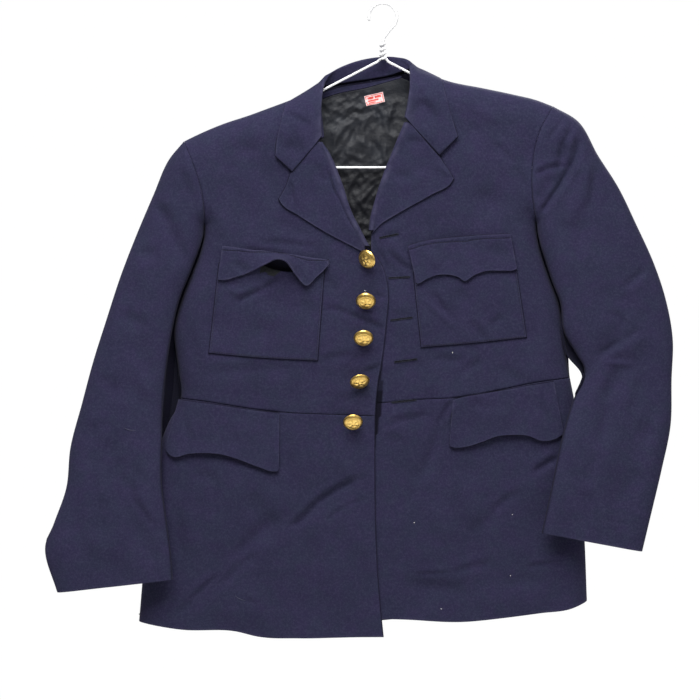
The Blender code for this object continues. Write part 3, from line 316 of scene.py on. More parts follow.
FRONT_CREASES = (
    # right chest and waist
    (-74, 320, -44, 328, 4, 1.5, 1), (-50, 326, 2, 348, 4, 2.6, 1), (-24, 402, -2, 394, 3.5, 2.0, 0),
    (-42, 394, -12, 374, 5, 1.3, 2), (-84, 390, -30, 380, 5, 1.2, 2), (-9, 256, -2, 290, 3, 1.6, 1),
    (-14, 303, 4, 307, 3, 1.5, 0), (-62, 438, -28, 428, 7, 1.4, -5), (-38, 418, -20, 444, 6, 1.0, 2),
    (-230, 404, -100, 398, 7, 1.2, 2), (-165, 392, -163, 444, 2.4, 0.9, 0),
    (-262, 330, -236, 420, 9, 1.6, 5), (-205, 150, -178, 196, 10, 1.4, 3),
    (-236, 190, -205, 240, 9, 1.8, -4), (-160, 120, -190, 110, 10, 1.2, 2),
    (-168, 237, -78, 243, 5, 1.4, 1), (-90, 262, -60, 300, 7, 1.0, -3),
    (-150, 210, -90, 232, 9, 1.0, 3),
    # right skirt
    (-118, 602, -84, 569, 4.5, 3.0, -1), (-96, 578, -30, 536, 4.5, 3.2, 2),
    (-74, 592, -46, 572, 3, 1.2, 0), (-52, 574, -18, 564, 3, 1.0, 1),
    (-150, 640, -108, 592, 12, -2.0, 2), (-34, 540, -50, 516, 9, -1.2, 2),
    (-246, 696, -206, 658, 3.6, 2.2, 2), (-222, 682, -182, 652, 6, 2.0, -2),
    (-196, 660, -158, 636, 6, 2.0, 2), (-190, 642, -132, 586, 9, 2.4, 3),
    (-262, 712, -242, 692, 5, 1.6, 0), (-178, 690, -160, 700, 4, 1.0, 0),
    (-92, 606, -90, 700, 9, 2.4, 2), (-116, 636, -108, 712, 8, 1.2, -2),
    (-60, 640, -56, 720, 12, -1.4, 2), (-244, 534, -210, 540, 8, 1.6, 2),
    (-170, 556, -150, 600, 12, 1.6, 3), (-272, 560, -258, 640, 9, 1.8, 3),
    (-60, 480, -30, 500, 12, 1.2, 3), (-130, 470, -112, 560, 9, 1.2, -2),
    (-30, 620, -24, 700, 9, 1.2, 2),
    # left chest and waist
    (0, 232, 24, 226, 5, 1.6, 1), (4, 246, 40, 276, 5, 2.4, -2), (-8, 244, 4, 270, 3.5, 1.6, 1),
    (4, 262, 30, 292, 8, 1.4, 2), (138, 108, 168, 138, 5, 1.4, 2), (166, 138, 184, 174, 5, 1.4, 2),
    (112, 60, 146, 84, 7, -1.3, 2), (118, 80, 100, 120, 12, 1.2, 2), (150, 50, 176, 66, 9, 1.2, -2),
    (120, 170, 152, 200, 12, 1.4, 3), (188, 236, 200, 320, 9, 1.8, 3), (62, 386, 108, 392, 6, 1.6, 2),
    (96, 404, 128, 384, 6, 1.6, -2), (124, 376, 122, 432, 2.4, 0.9, 0), (186, 330, 190, 400, 9, 1.6, 3),
    (8, 330, 40, 334, 6, 1.0, 1), (10, 400, 60, 394, 7, 1.2, 2), (140, 392, 180, 420, 8, 1.3, 2),
    # left skirt
    (88, 438, 72, 470, 3.6, 3.2, -1), (74, 462, 60, 516, 7, 2.6, 2), (62, 504, 40, 546, 8, 2.0, 2),
    (42, 548, 24, 580, 8, 1.2, 1), (4, 470, 62, 458, 6, 1.9, 2), (0, 486, 30, 492, 7, 1.0, 1),
    (38, 660, 88, 658, 2.6, 1.5, 0), (84, 660, 142, 645, 5, 1.5, 1), (182, 651, 236, 642, 3.2, 1.9, 0),
    (136, 584, 174, 553, 5.5, 1.9, 1), (108, 612, 150, 584, 9, 1.6, 2), (190, 532, 226, 510, 5, 3.0, 1),
    (100, 530, 112, 600, 14, -1.6, 4), (60, 570, 90, 620, 14, -1.6, -3),
    (20, 672, 120, 690, 10, 1.8, 3), (150, 676, 214, 668, 10, 1.8, 2), (14, 600, 22, 656, 10, 1.3, 2),
    (216, 580, 232, 640, 8, 1.6, 2), (184, 190, 199, 222, 4.0, 3.4, 0),
    (-232, 196, -226, 226, 3.0, 1.6, 0),
    # on the pockets and flaps
    (-188, 314, -150, 296, 4.5, 2.6, 1), (-152, 298, -126, 280, 4.5, 3.0, 1),
    (-200, 296, -178, 304, 5, -1.4, 1), (-110, 310, -90, 340, 12, 1.4, 3),
    (-170, 350, -130, 356, 12, 1.4, 3), (60, 298, 80, 328, 5, 1.9, 1), (50, 308, 92, 348, 4, -1.4, 1),
    (112, 336, 128, 366, 6, 2.4, 1), (140, 345, 152, 330, 6, 1.4, 1), (90, 300, 110, 316, 9, 1.2, 1),
    (60, 246, 70, 270, 7, -1.3, 1), (130, 242, 160, 262, 9, 1.3, 2), (-190, 262, -172, 278, 6, 1.6, 1),
    (-110, 266, -104, 286, 4, 1.6, 1), (-180, 247, -120, 254, 5, 1.6, 1),
    (112, 440, 138, 452, 8, 1.4, 1), (150, 446, 156, 476, 7, -1.4, 1), (196, 440, 214, 470, 6, 1.5, 1),
    (-256, 452, -250, 490, 5, 1.6, 1), (-200, 466, -190, 500, 9, 1.3, 1),
    (-150, 460, -146, 510, 6, 1.3, 0),
)
LAPEL_CREASES = (           # on the lapels and the collar
    (-70, 146, -60, 178, 2.4, 2.2, -1), (-62, 172, -36, 224, 2.4, 2.2, 1),
    (-118, 156, -115, 188, 3, 1.9, 0), (-84, 136, -80, 160, 4, 1.3, 0), (-70, 140, -76, 162, 5, 1.4, 1),
    (-126, 70, -96, 88, 4, 1.6, 1), (-138, 84, -132, 122, 5, 1.6, 1), (-112, 92, -104, 138, 8, 1.9, -2),
    (-130, 116, -100, 118, 7, 1.3, 1), (-96, 60, -88, 100, 4, -1.3, 1), (44, 56, 66, 82, 7, 1.9, 2),
    (78, 38, 92, 98, 3.2, 1.9, 2), (60, 40, 70, 78, 5, -1.4, 1), (40, 88, 70, 124, 3, 1.2, 1),
    (24, 106, 56, 112, 6, 1.6, 1), (66, 136, 88, 152, 4, -1.2, 0), (10, 150, 40, 160, 7, 1.0, 2),
    (26, 170, 62, 148, 8, -1.2, 2), (48, 40, 52, 66, 4, 1.4, 0),
)
BACK_CREASES = (
    (-228, 150, -150, 120, 10, 2.4, 5), (-222, 205, -130, 182, 12, 2.2, -8),
    (-120, 90, -40, 110, 14, 1.6, 6), (-230, 250, -120, 330, 14, 2.4, 10),
    (-180, 330, -60, 410, 16, 2.2, -10), (-262, 380, -150, 420, 10, 2.0, 5),
    (-250, 470, -130, 560, 16, 2.6, 9), (-120, 440, -96, 600, 18, 2.0, -8),
    (-210, 600, -196, 718, 16, 2.4, 6), (-70, 560, -60, 715, 14, -2.0, 5),
    (-140, 620, -130, 722, 16, 2.2, -5), (-276, 560, -240, 690, 12, 2.0, 6),
    (186, 120, 110, 110, 10, 2.4, -5), (188, 180, 96, 150, 12, 2.2, 8), (80, 60, 20, 90, 12, 1.6, -5),
    (206, 240, 110, 300, 12, 2.4, -8), (150, 300, 40, 390, 16, 2.0, 9),
    (226, 360, 130, 400, 10, 2.0, -5), (220, 440, 120, 520, 15, 2.4, -9),
    (80, 430, 60, 580, 18, 2.0, 8), (170, 580, 160, 700, 16, 2.2, -6), (30, 560, 22, 706, 14, -2.0, -4),
    (96, 610, 90, 706, 15, 2.2, 5), (236, 540, 214, 676, 12, 2.0, -6),
)
SLEEVE_CREASES = (
    # right sleeve
    (-344, 530, -312, 560, 7, 1.6, 2), (-324, 552, -282, 606, 5, 2.0, -2),
    (-352, 520, -300, 540, 10, 1.4, 2), (-262, 140, -246, 186, 7, 1.6, 3),
    (-296, 188, -270, 214, 8, 1.6, 3), (-318, 250, -286, 246, 8, 1.3, -3),
    (-346, 330, -300, 346, 10, 1.6, 4), (-330, 396, -296, 452, 11, 2.2, -4),
    (-372, 410, -326, 436, 10, 1.4, 5), (-380, 480, -340, 470, 8, 1.3, 3),
    (-396, 560, -372, 640, 12, 1.9, -5), (-300, 470, -290, 530, 8, 1.6, 2),
    (-390, 640, -320, 656, 12, 1.2, 4), (-366, 520, -352, 570, 9, -1.5, 3),
    # left sleeve
    (234, 72, 221, 92, 2.8, 2.4, 1), (222, 90, 212, 106, 3, 1.8, 0), (244, 86, 230, 112, 3.6, 3.2, 0),
    (231, 106, 225, 134, 5, 4.2, 1), (194, 149, 212, 141, 3, 2.8, 0), (208, 142, 230, 137, 3.2, 3.2, 0),
    (249, 106, 246, 134, 4, 3.2, 1), (247, 128, 230, 158, 4, 4.2, 0), (234, 152, 214, 182, 3.6, 4.4, 0),
    (218, 176, 201, 200, 3.6, 3.6, 0), (200, 196, 206, 232, 3.4, 3.2, 0),
    (214, 150, 202, 186, 9, 2.4, 0), (238, 112, 222, 146, 10, 1.6, 2), (262, 132, 252, 196, 6, -1.8, 3),
    (276, 140, 280, 190, 6, -1.2, 1), (296, 150, 312, 186, 6, 1.2, 2), (280, 206, 288, 250, 5, -1.0, 1),
    (252, 210, 244, 262, 9, 1.5, 3), (338, 268, 304, 296, 5, 2.0, 1), (306, 300, 316, 332, 7, 1.8, 1),
    (290, 324, 312, 344, 6, 2.0, 1), (330, 344, 304, 364, 6, 1.9, 1), (306, 360, 276, 381, 5, 2.8, 0),
    (280, 390, 322, 394, 4, -1.6, 1), (296, 392, 286, 440, 10, 2.4, 1), (288, 430, 272, 506, 9, 2.8, 2),
    (272, 500, 256, 548, 9, 1.9, 1), (252, 548, 264, 596, 9, 1.5, 2), (318, 396, 306, 450, 8, -1.5, 2),
    (330, 520, 300, 560, 12, 1.4, 4), (344, 440, 330, 500, 9, 1.5, 2),
)
BACK_SLEEVE_CREASES = (
    (-258, 130, -236, 190, 8, 2.4, 4), (-300, 180, -250, 250, 10, 2.6, 5),
    (-336, 300, -268, 330, 10, 2.6, -5), (-350, 360, -284, 350, 9, 2.2, 4),
    (-372, 430, -300, 470, 11, 2.2, 6), (-390, 520, -320, 560, 12, 2.0, -6),
    (236, 90, 212, 130, 8, 2.6, 3), (262, 140, 210, 190, 9, 2.8, 5), (300, 200, 224, 250, 10, 2.4, -5),
    (334, 300, 250, 320, 9, 2.6, 5), (350, 356, 262, 384, 10, 2.4, -4),
    (346, 450, 260, 480, 12, 2.2, 6),
)
LINING_CREASES = (
    (-30, 78, -62, 132, 4.5, -3.0, 3), (-40, 74, -68, 118, 4.5, 2.4, -2),
    (-44, 64, -8, 66, 3.5, -2.2, -3), (-30, 56, -72, 66, 4.0, 1.8, 3), (10, 56, 26, 82, 3.5, -2.0, 2),
    (16, 50, 6, 90, 3.5, 1.8, -2), (-8, 64, -4, 92, 3.5, -2.0, 2), (-16, 70, -30, 96, 4.0, 1.8, -3),
    (0, 92, 22, 108, 4.0, 2.2, 2), (-36, 100, -8, 112, 4.0, 1.7, -3), (-20, 104, 2, 128, 4.0, -2.0, 3),
    (-50, 120, -24, 134, 3.5, 2.0, 2), (-66, 88, -50, 104, 4.0, 1.8, 2),
    (-2, 116, 10, 136, 3.5, 2.2, -2), (-40, 128, -16, 140, 3.5, -1.6, 2),
    (-58, 146, -44, 170, 3.5, -2.2, 2), (-28, 144, -48, 176, 3.5, 2.4, -3),
    (-14, 150, -40, 172, 3.0, -2.0, 2), (-10, 160, -34, 186, 3.0, 2.0, 2),
    (-50, 172, -30, 196, 3.5, 2.2, -2), (-6, 168, -16, 204, 3.5, -1.8, 2),
    (-38, 184, -18, 214, 3.5, -2.2, 2), (-24, 190, -8, 196, 3.0, 1.8, 1),
    (-20, 206, -4, 232, 4.0, 2.0, -2), (-120, 120, -160, 300, 14, 2.4, 8),
    (-60, 240, -90, 420, 14, 2.6, -10), (60, 120, 120, 300, 14, 2.4, -8),
    (20, 260, 40, 460, 16, -2.4, 8), (-200, 300, -150, 560, 16, 2.4, 9),
    (-60, 460, -30, 640, 16, -2.4, 8), (150, 320, 120, 560, 16, 2.4, -9),
    (60, 480, 90, 660, 14, 2.2, 6),
)
CREASE_DEPTH = 1.2          # all the creases are this many times as deep as in the tables
CREASE_END = 0.08           # a crease reaches this share of its length past its two places
CREASE_FADE = 0.4           # and dies away over this share of it
CREASE_RIDGE = 0.4          # it throws up a ridge this deep, as a share of its own depth,
RIDGE_PLACE = 1.7           # this many half widths to one side
RIDGE_WIDTH = 1.1           # and this many half widths wide
WAVES = (                   # a faint unevenness all over: angle, wave length, height, phase
    (8, 97, 0.55, 0.3), (71, 131, 0.7, 1.9), (112, 71, 0.42, 4.1), (38, 47, 0.24, 2.6),
    (151, 37, 0.18, 5.3), (92, 29, 0.12, 0.9),
)

# ---- grid lines ----------------------------------------------------------------------------

STEP = 2.5                  # between the grid lines of a panel
BACK_STEP = 4.2             # and of one behind
FINE_STEP = 1.65            # and of a lapel, a pocket or a flap
FOLD_LINES = (0.1, 0.4, 0.9, 1.6, 2.5, 3.7, 5.2, 7.2, 9.8, 13.0)    # distances from a fold
EDGE_LINES = (1.5, 2.7, 4.2)            # from a sewn or a turned edge
CLEAR_OF_EXTRA = 0.8        # even grid lines keep this far from the ones placed by hand
FOLD_STEP = 5               # grid lines from a fold to where its outward direction is read
SEAM_SINK = 0.5             # a seam lies this far below the cloth beside it
SEAM_REACH = 2.6
HEAD_RISE = 1.6             # a sleeve stands this far proud just past the armhole
WEAR_REACH = 3.0            # turned edges are worn over this width


def spread(length, step, start=(), end=(), extra=()):
    """Shares of a length, evenly stepped, with closer lines at distances from its ends."""
    first = start[-1] if start else 0.0
    last = length - (end[-1] if end else 0.0)
    count = max(1, round((last - first) / step))
    even = [first + (last - first) * k / count for k in range(count + 1)]
    places = [0.0, length] + list(start) + [length - d for d in end] + even
    places = sorted(p for p in places if all(abs(p - e) > CLEAR_OF_EXTRA for e in extra)) + list(extra)
    return np.unique(np.round(places, 4)) / length


# ---- curves and surfaces -------------------------------------------------------------------

def smooth(rows, steps=10):
    """Closely spaced points on a smooth curve through the rows of a table."""
    points = np.array(rows, float)
    gaps = np.linalg.norm(np.diff(points, axis=0), axis=1)[:, None]
    slopes = np.diff(points, axis=0) / gaps
    tangents = np.empty_like(points)
    tangents[0] = slopes[0]
    tangents[-1] = slopes[-1]
    tangents[1:-1] = (slopes[:-1] * gaps[1:] + slopes[1:] * gaps[:-1]) / (gaps[:-1] + gaps[1:])
    share = (np.arange(steps) / steps)[:, None]
    curve = []
    for k, gap in enumerate(gaps):
        curve.append(
            points[k] * (2 * share**3 - 3 * share**2 + 1)
            + tangents[k] * gap * (share**3 - 2 * share**2 + share)
            + points[k + 1] * (3 * share**2 - 2 * share**3)
            + tangents[k + 1] * gap * (share**3 - share**2)
        )
    return np.vstack(curve + [points[-1:]])


def lengths_along(points, axis=0):
    """The length of the line through the points, from its start to each of them."""
    steps = np.linalg.norm(np.diff(points, axis=axis), axis=-1)
    start = np.zeros_like(np.take(steps, [0], axis=axis))
    return np.concatenate([start, np.cumsum(steps, axis=axis)], axis=axis)


def points_at(line, lengths, wanted):
    """Points on a line at the wanted lengths from its start."""
    return np.stack([np.interp(wanted, lengths, column) for column in line.T], axis=1)


def between(first, second, share):
    """What lies at a share of the way from the first to the second."""
    return (1 - share) * first + share * second


def along(rows, shares):
    """Points at the given shares of the length of the smooth curve through the rows."""
    curve = smooth(rows)
    lengths = lengths_along(curve)
    return points_at(curve, lengths, np.asarray(shares) * lengths[-1])


def coons(top, bottom, left, right, columns, rows):
    """A grid of points between four edges, whose ends meet at the corners."""
    u = np.asarray(columns)[None, :, None]
    v = np.asarray(rows)[:, None, None]
    corners = ((1 - u) * (1 - v) * top[0] + u * (1 - v) * top[-1]
               + (1 - u) * v * bottom[0] + u * v * bottom[-1])
    return between(top[None], bottom[None], v) + between(left[:, None], right[:, None], u) - corners


def fold_distance(points, line, inside):
    """Distance of each point from a line, negative beyond it from where the point inside lies.
    Past the line's two ends it is always positive."""
    starts = line[:-1]
    spans = line[1:] - starts
    offsets = points[..., None, :] - starts
    shares = (offsets * spans).sum(-1) / (spans**2).sum(-1)
    past_end = (shares[..., 0] < 0, shares[..., -1] > 1)
    shares = np.clip(shares, 0, 1)
    gaps = offsets - shares[..., None] * spans
    lengths = np.linalg.norm(gaps, axis=-1)
    nearest = lengths.argmin(-1)
    turn = spans[:, 0] * offsets[..., 1] - spans[:, 1] * offsets[..., 0]
    to_inside = np.asarray(inside) - starts
    home = np.sign(spans[:, 0] * to_inside[:, 1] - spans[:, 1] * to_inside[:, 0])
    pick = np.take_along_axis(turn * home, nearest[..., None], -1)[..., 0]
    length = np.take_along_axis(lengths, nearest[..., None], -1)[..., 0]
    last = len(starts) - 1
    at_end = ((nearest == 0) & past_end[0]) | ((nearest == last) & past_end[1])
    return np.where((pick >= 0) | at_end, length, -length)


def ease(value):
    """A smooth step from 0 to 1."""
    share = np.clip(value, 0, 1)
    return share**2 * (3 - 2 * share)


def rounded(distance, depth, radius, lift):
    """Height of a face that rises from a fold as a quarter of an ellipse, moved out by lift."""
    share = np.clip((distance + lift) / (radius + lift), 0, 1)
    return (depth + lift) * np.sqrt(1 - (1 - share)**2)


def folds_at(points, table):
    """Depth of the main folds at each point: a trough is positive."""
    total = np.zeros(points.shape[:-1])
    for x0, drop0, x1, drop1, half_width, depth in table:
        span = np.array((x1 - x0, drop1 - drop0), float)
        length = np.linalg.norm(span)
        offset = points - np.array((x0, drop0), float)
        share = (offset * span).sum(-1) / length**2
        across = np.abs(offset[..., 0] * span[1] - offset[..., 1] * span[0]) / length
        past = np.maximum(-share, share - 1) * length
        fade = ease(1 - past / (FOLD_END * half_width))
        total += depth * np.exp(-(across / half_width)**2) * fade
    return total


def creases_at(points, table):
    """Depth of the creases at each point. Each bows sideways, dies away towards its ends and
    throws up a lower ridge along one side."""
    total = np.zeros(points.shape[:-1])
    for x0, drop0, x1, drop1, half_width, depth, bow in table:
        span = np.array((x1 - x0, drop1 - drop0), float)
        length = np.linalg.norm(span)
        offset = points - np.array((x0, drop0), float)
        share = (offset * span).sum(-1) / length**2
        across = (offset[..., 0] * span[1] - offset[..., 1] * span[0]) / length
        across = across / half_width - bow / half_width * (1 - (2 * share - 1)**2)
        fade = ease((share + CREASE_END) / CREASE_FADE) * ease((1 + CREASE_END - share) / CREASE_FADE)
        ridge = CREASE_RIDGE * np.exp(-((across - RIDGE_PLACE) / RIDGE_WIDTH)**2)
        total += CREASE_DEPTH * depth * fade * (np.exp(-across**2) - ridge)
    return total


def waves_at(points):
    """The faint unevenness of the cloth at each point."""
    total = np.zeros(points.shape[:-1])
    for angle, wave_length, height, phase in WAVES:
        turn = math.radians(angle)
        place = points[..., 0] * math.cos(turn) + points[..., 1] * math.sin(turn)
        total += height * np.sin(2 * math.pi * place / wave_length + phase)
    return total


# the lines in the plane of the folds, from which the faces of the body rise
FRONT_SIDES = (smooth(FRONT_SIDE_RIGHT + FRONT_SKIRT_SIDE_RIGHT[1:]),
               smooth(FRONT_SIDE_LEFT + SKIRT_SIDE_LEFT[1:]))
BACK_SIDES = (smooth(BACK_SIDE_RIGHT), smooth(BACK_SIDE_LEFT))
RIDGES = (smooth(SHOULDER_RIGHT), smooth(SHOULDER_LEFT))
NECK_RIDGES = (smooth(((-70, 32),) + SHOULDER_RIGHT), smooth(((20, 8.6),) + SHOULDER_LEFT))


def body_distance(points, lines):
    """Distance of each point from the nearest of the lines, negative outside the body."""
    return np.min([fold_distance(points, line, BODY_MIDDLE) for line in lines], axis=0)


def front_y(points, lift=0.0, over=False):
    """The front's face. over is for the right front, which lies over the left one."""
    distance = body_distance(points, FRONT_SIDES + NECK_RIDGES)
    height = rounded(distance, FRONT_DEPTH, BODY_ROUND, lift)
    depth = folds_at(points, FRONT_FOLDS) + creases_at(points, FRONT_CREASES) + waves_at(points)
    height = height - depth * ease(distance / BODY_ROUND)
    if over:
        height = height + OVERLAP_LIFT * ease((points[..., 0] - OVERLAP_START) / OVERLAP_BLEND)
    return -height


def back_y(points, lift=0.0):
    """The back's face."""
    distance = body_distance(points, BACK_SIDES + RIDGES)
    height = rounded(distance, BACK_DEPTH, BODY_ROUND, lift)
    depth = folds_at(points, BACK_FOLDS) + creases_at(points, BACK_CREASES) + waves_at(points)
    return height - depth * ease(distance / BODY_ROUND)


def to_space(points, y):
    """Places given as x and drop, with a depth y, in space."""
    return np.stack([points[..., 0], y, -APEX_DROP - points[..., 1]], axis=-1)


def moved(rows, x=0.0, drop=0.0):
    """The rows of an outline, moved sideways and down."""
    return tuple((row[0] + x, row[1] + drop) for row in rows)


# ---- making pieces -------------------------------------------------------------------------

RIM_DEGREES = (60, 20, -20, -60)        # the lines of a wall's rounded edge
RIM_ROOM = 0.6              # an edge is rounded over at most this share of a grid step
SEWN_PULL = 0.35            # a sewn edge is rounded over this width
EDGE_WEAR = 0.45            # how much a turned edge is rubbed
RIM_SHADE = -0.5            # painted shade on the cloth at the edge of an outlined piece
RIM_PAINTED_SHADE = -1.0             # deeper painted shade on its rim
INNER_SHADE = -0.85         # and painted shade on the inner face of every piece
CLOTH_APART = 60.0          # each piece is cut this far from the last, so that no two look alike
EDGES = {
    "top": (0, slice(None)), "bottom": (-1, slice(None)),
    "left": (slice(None), 0), "right": (slice(None), -1),
}
pieces = {}
sheets = []


def add_object(name, data):
    """A new object in the scene."""
    item = bpy.data.objects.new(name, data)
    bpy.context.scene.collection.objects.link(item)
    return item


def solid(name, vertices, faces, surface, cloth=None, wear_and_painted_light=None):
    """One named object from points in millimetres, with where each point lies on its cloth."""
    mesh = bpy.data.meshes.new(name)
    mesh.from_pydata((np.asarray(vertices) * MILLIMETRE).tolist(), [], faces)
    mesh.materials.append(surface)
    mesh.shade_smooth()
    if cloth is not None:
        places = mesh.attributes.new("cloth", "FLOAT_VECTOR", "POINT")
        places.data.foreach_set("vector", (np.asarray(cloth) * MILLIMETRE).ravel())
    if wear_and_painted_light is not None:
        amounts = mesh.attributes.new("wear_and_painted_light", "FLOAT", "POINT")
        amounts.data.foreach_set("value", np.asarray(wear_and_painted_light, float).ravel())
    item = add_object(name, mesh)
    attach(item, "root")
    pieces[name] = item
    return item


def stand_for(node):
    """The piece takes the place of a solid."""
    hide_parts(node)


def grid_normals(grid):
    """The direction that the face looks in at each point of a grid."""
    normals = np.cross(np.gradient(grid, axis=1), np.gradient(grid, axis=0))
    return normals / np.linalg.norm(normals, axis=-1, keepdims=True)


def flatten_edge(normals, grid, folds):
    """Along a fold the wall's thickness lies in the plane of the folds."""
    inner = {
        "top": (FOLD_STEP, slice(None)),
        "left": (slice(None), FOLD_STEP), "right": (slice(None), -1 - FOLD_STEP),
    }
    for name, rows in folds.items():
        outward = grid[EDGES[name]] - grid[inner[name]]
        outward[..., 1] = 0
        outward /= np.linalg.norm(outward, axis=-1, keepdims=True)
        normals[EDGES[name]][rows] = outward[rows]


def square_seam(normals, grid, rows):
    """Along the seam to a sleeve the wall's thickness has no part across the seam."""
    line = grid[rows][:, (0, 2)]
    tangent = np.gradient(line, axis=0)
    across = np.stack([tangent[:, 1], np.zeros(len(line)), -tangent[:, 0]], axis=1)
    across /= np.linalg.norm(across, axis=1, keepdims=True)
    squared = normals[rows] - (normals[rows] * across).sum(1, keepdims=True) * across
    normals[rows] = squared / np.linalg.norm(squared, axis=1, keepdims=True)


def wear_at(across, down, worn):
    """1 at the worn edges, falling to 0 over the width of the worn band."""
    gaps = {
        "left": across, "right": across[:, -1:] - across,
        "top": down, "bottom": down[-1:] - down,
    }
    amount = np.zeros_like(across)
    for edge in worn:
        amount = np.maximum(amount, np.clip(1 - gaps[edge] / WEAR_REACH, 0, 1))
    return amount


def wear_and_painted_light_of(across, down, worn, rub_and_painted_light, outlined):
    """How light or dark each point is coloured: 1 is worn light, in part painted highlight, and -1 is
    painted shade.
    """
    wear_and_painted_light = np.maximum(EDGE_WEAR * wear_at(across, down, worn), rub_and_painted_light)
    wear_and_painted_light = np.where(np.less(rub_and_painted_light, 0), rub_and_painted_light, wear_and_painted_light)
    if outlined:
        for edge in EDGES.values():
            wear_and_painted_light[edge] = RIM_SHADE
    return wear_and_painted_light


def edge_pulls(shape, thickness, sewn, seam):
    """How far inside its edge a wall begins to round: half its thickness, or less where sewn."""
    pulls = np.full(shape, thickness / 2)
    for edge in sewn:
        pulls[EDGES[edge]] = SEWN_PULL
    if seam is not None:
        pulls[seam] = SEWN_PULL
    return pulls


def ring_of(rows, columns):
    """The row and column of each point round the outside of a grid."""
    return ([(0, c) for c in range(columns)] + [(r, columns - 1) for r in range(1, rows)]
            + [(rows - 1, c) for c in range(columns - 2, -1, -1)]
            + [(r, 0) for r in range(rows - 2, 0, -1)])


def wall_faces(rows, columns, ring):
    """The faces of the outer grid, the inner grid and the rounded edge between them."""
    count = rows * columns
    faces = []
    for r in range(rows - 1):
        for c in range(columns - 1):
            corner = r * columns + c
            quad = (corner, corner + 1, corner + 1 + columns, corner + columns)
            faces.append(quad)
            faces.append(tuple(count + k for k in reversed(quad)))
    size = len(ring)
    lines = [[r * columns + c for r, c in ring]]
    lines += [[2 * count + k * size + n for n in range(size)] for k in range(len(RIM_DEGREES))]
    lines.append([count + r * columns + c for r, c in ring])
    for near, far in zip(lines, lines[1:]):
        for k in range(size):
            after = (k + 1) % size
            faces.append((near[after], near[k], far[k], far[after]))
    return faces


def grid_area(grid):
    """The area of a grid of points in millimetres, in square metres."""
    diagonals = (grid[1:, 1:] - grid[:-1, :-1], grid[1:, :-1] - grid[:-1, 1:])
    return np.linalg.norm(np.cross(*diagonals), axis=-1).sum() / 2 * MILLIMETRE**2


def wall(name, grid, thickness, look="serge", facing=None, folds=None, seam=None, sewn=(), worn=(),
         rub_and_painted_light=0.0, outlined=True):
    """A closed wall with rounded edges whose outer face is the grid. look names its material and
    its slot, facing is a rough outward direction, folds names the edges that lie on a fold, seam
    picks the points sewn to a sleeve, sewn names the other sewn edges, and worn the turned edges.
    The next argument colours each point lighter, as wear and in part as painted highlight, and
    where it is negative darker, as painted shade. An outlined piece has painted shade round its
    rim, and every piece has painted shade on its inner face. The piece is noted as the sheet that
    it was cut from."""
    normals = grid_normals(grid)
    turned_over = facing is not None and (normals * np.asarray(facing)).sum() < 0
    if turned_over:
        normals = -normals
    if seam is not None:
        square_seam(normals, grid, seam)
    if folds:
        flatten_edge(normals, grid, folds)
    across = lengths_along(grid, 1)
    down = lengths_along(grid, 0)
    wear_and_painted_light = wear_and_painted_light_of(across, down, worn, rub_and_painted_light, outlined)
    pulls = edge_pulls(across.shape, thickness, sewn, seam)
    if turned_over:
        grid, normals, wear_and_painted_light, pulls = (part[:, ::-1] for part in (grid, normals, wear_and_painted_light, pulls))
    rows, columns = grid.shape[:2]
    ring = ring_of(rows, columns)
    at = tuple(np.array(ring).T)
    inward = (np.clip(at[0], 1, rows - 2), np.clip(at[1], 1, columns - 2))
    out = grid[at] - grid[inward]
    out -= (out * normals[at]).sum(1, keepdims=True) * normals[at]
    room = np.linalg.norm(out, axis=1, keepdims=True)
    out /= room
    half = thickness / 2
    pull = np.minimum(pulls[at][:, None], RIM_ROOM * room)
    centre = grid[at] - out * pull - normals[at] * half
    outer = grid.copy()
    outer[at] = grid[at] - out * pull
    rims = [centre + out * pull * math.cos(angle) + normals[at] * half * math.sin(angle)
            for angle in np.radians(RIM_DEGREES)]
    inner = outer - normals * thickness
    vertices = np.vstack([outer.reshape(-1, 3), inner.reshape(-1, 3)] + rims)
    cloth = vertices[:, (0, 2, 1)] * (1, -1, 1) + (0, -APEX_DROP, CLOTH_APART * len(pieces))
    # outlined rims and every inner face get painted shade; other rims take the values of their edge
    rim_wear_and_shade = np.full(len(ring), RIM_PAINTED_SHADE) if outlined else wear_and_painted_light[at]
    wear_and_light_by_point = np.concatenate([wear_and_painted_light.ravel(), np.full(rows * columns, INNER_SHADE)] + [rim_wear_and_shade] * len(rims))
    item = solid(name + "_cloth", vertices, wall_faces(rows, columns, ring), looks[look], cloth, wear_and_light_by_point)
    stand_for(name)
    flat = (across[:, -1].max() * MILLIMETRE, down[-1].max() * MILLIMETRE)
    sheets.append((name, item, flat, grid_area(grid)))


# ---- the body ------------------------------------------------------------------------------

UNDERARM_SHARE = 0.34       # share of a front's rows that lie beside its armhole
BACK_UNDERARM_SHARE = 0.21  # the same of a back
NECK_SHARE = 0.28           # share of a back's columns that lie below the neckline
BACK_NECK_WIDTH = 60.0      # rough sizes that set the grid of a back
BACK_RIDGE_WIDTH = 190.0
BACK_WIDTH = 250.0
SINK_START = 8.0            # a seam sinks over this width from the front's edge
BESIDE_SLEEVE = 2.2         # a front has painted shade this far in from where it meets the sleeve
EDGE_SHADE = -0.6           # how dark the painted shade on the right front is
EDGE_SHADE_WIDTH = 0.8      # within this of its edge
# painted shade on the strip of the left front that shows beside the right one's edge
STRIP_X = -0.8              # up to this x, and below the waist further by a share of the drop
STRIP_WAIST = 441
STRIP_LEAN = 0.17
STRIP_SHADES = ((380, -0.72), (428, -1.32), (441.5, -0.97), (500, 0.0))    # from each drop on


def dip(shares, length, reach=SEAM_REACH):
    """How far the cloth sinks beside a seam that lies where the shares begin."""
    return SEAM_SINK * (1 - ease(np.asarray(shares) * length / reach))


def spread_table(rows, step, start=(), end=(), extra=()):
    """Shares along the smooth curve through a table's rows."""
    length = np.linalg.norm(np.diff(smooth(rows), axis=0), axis=1).sum()
    return spread(length, step, start, end, extra), length


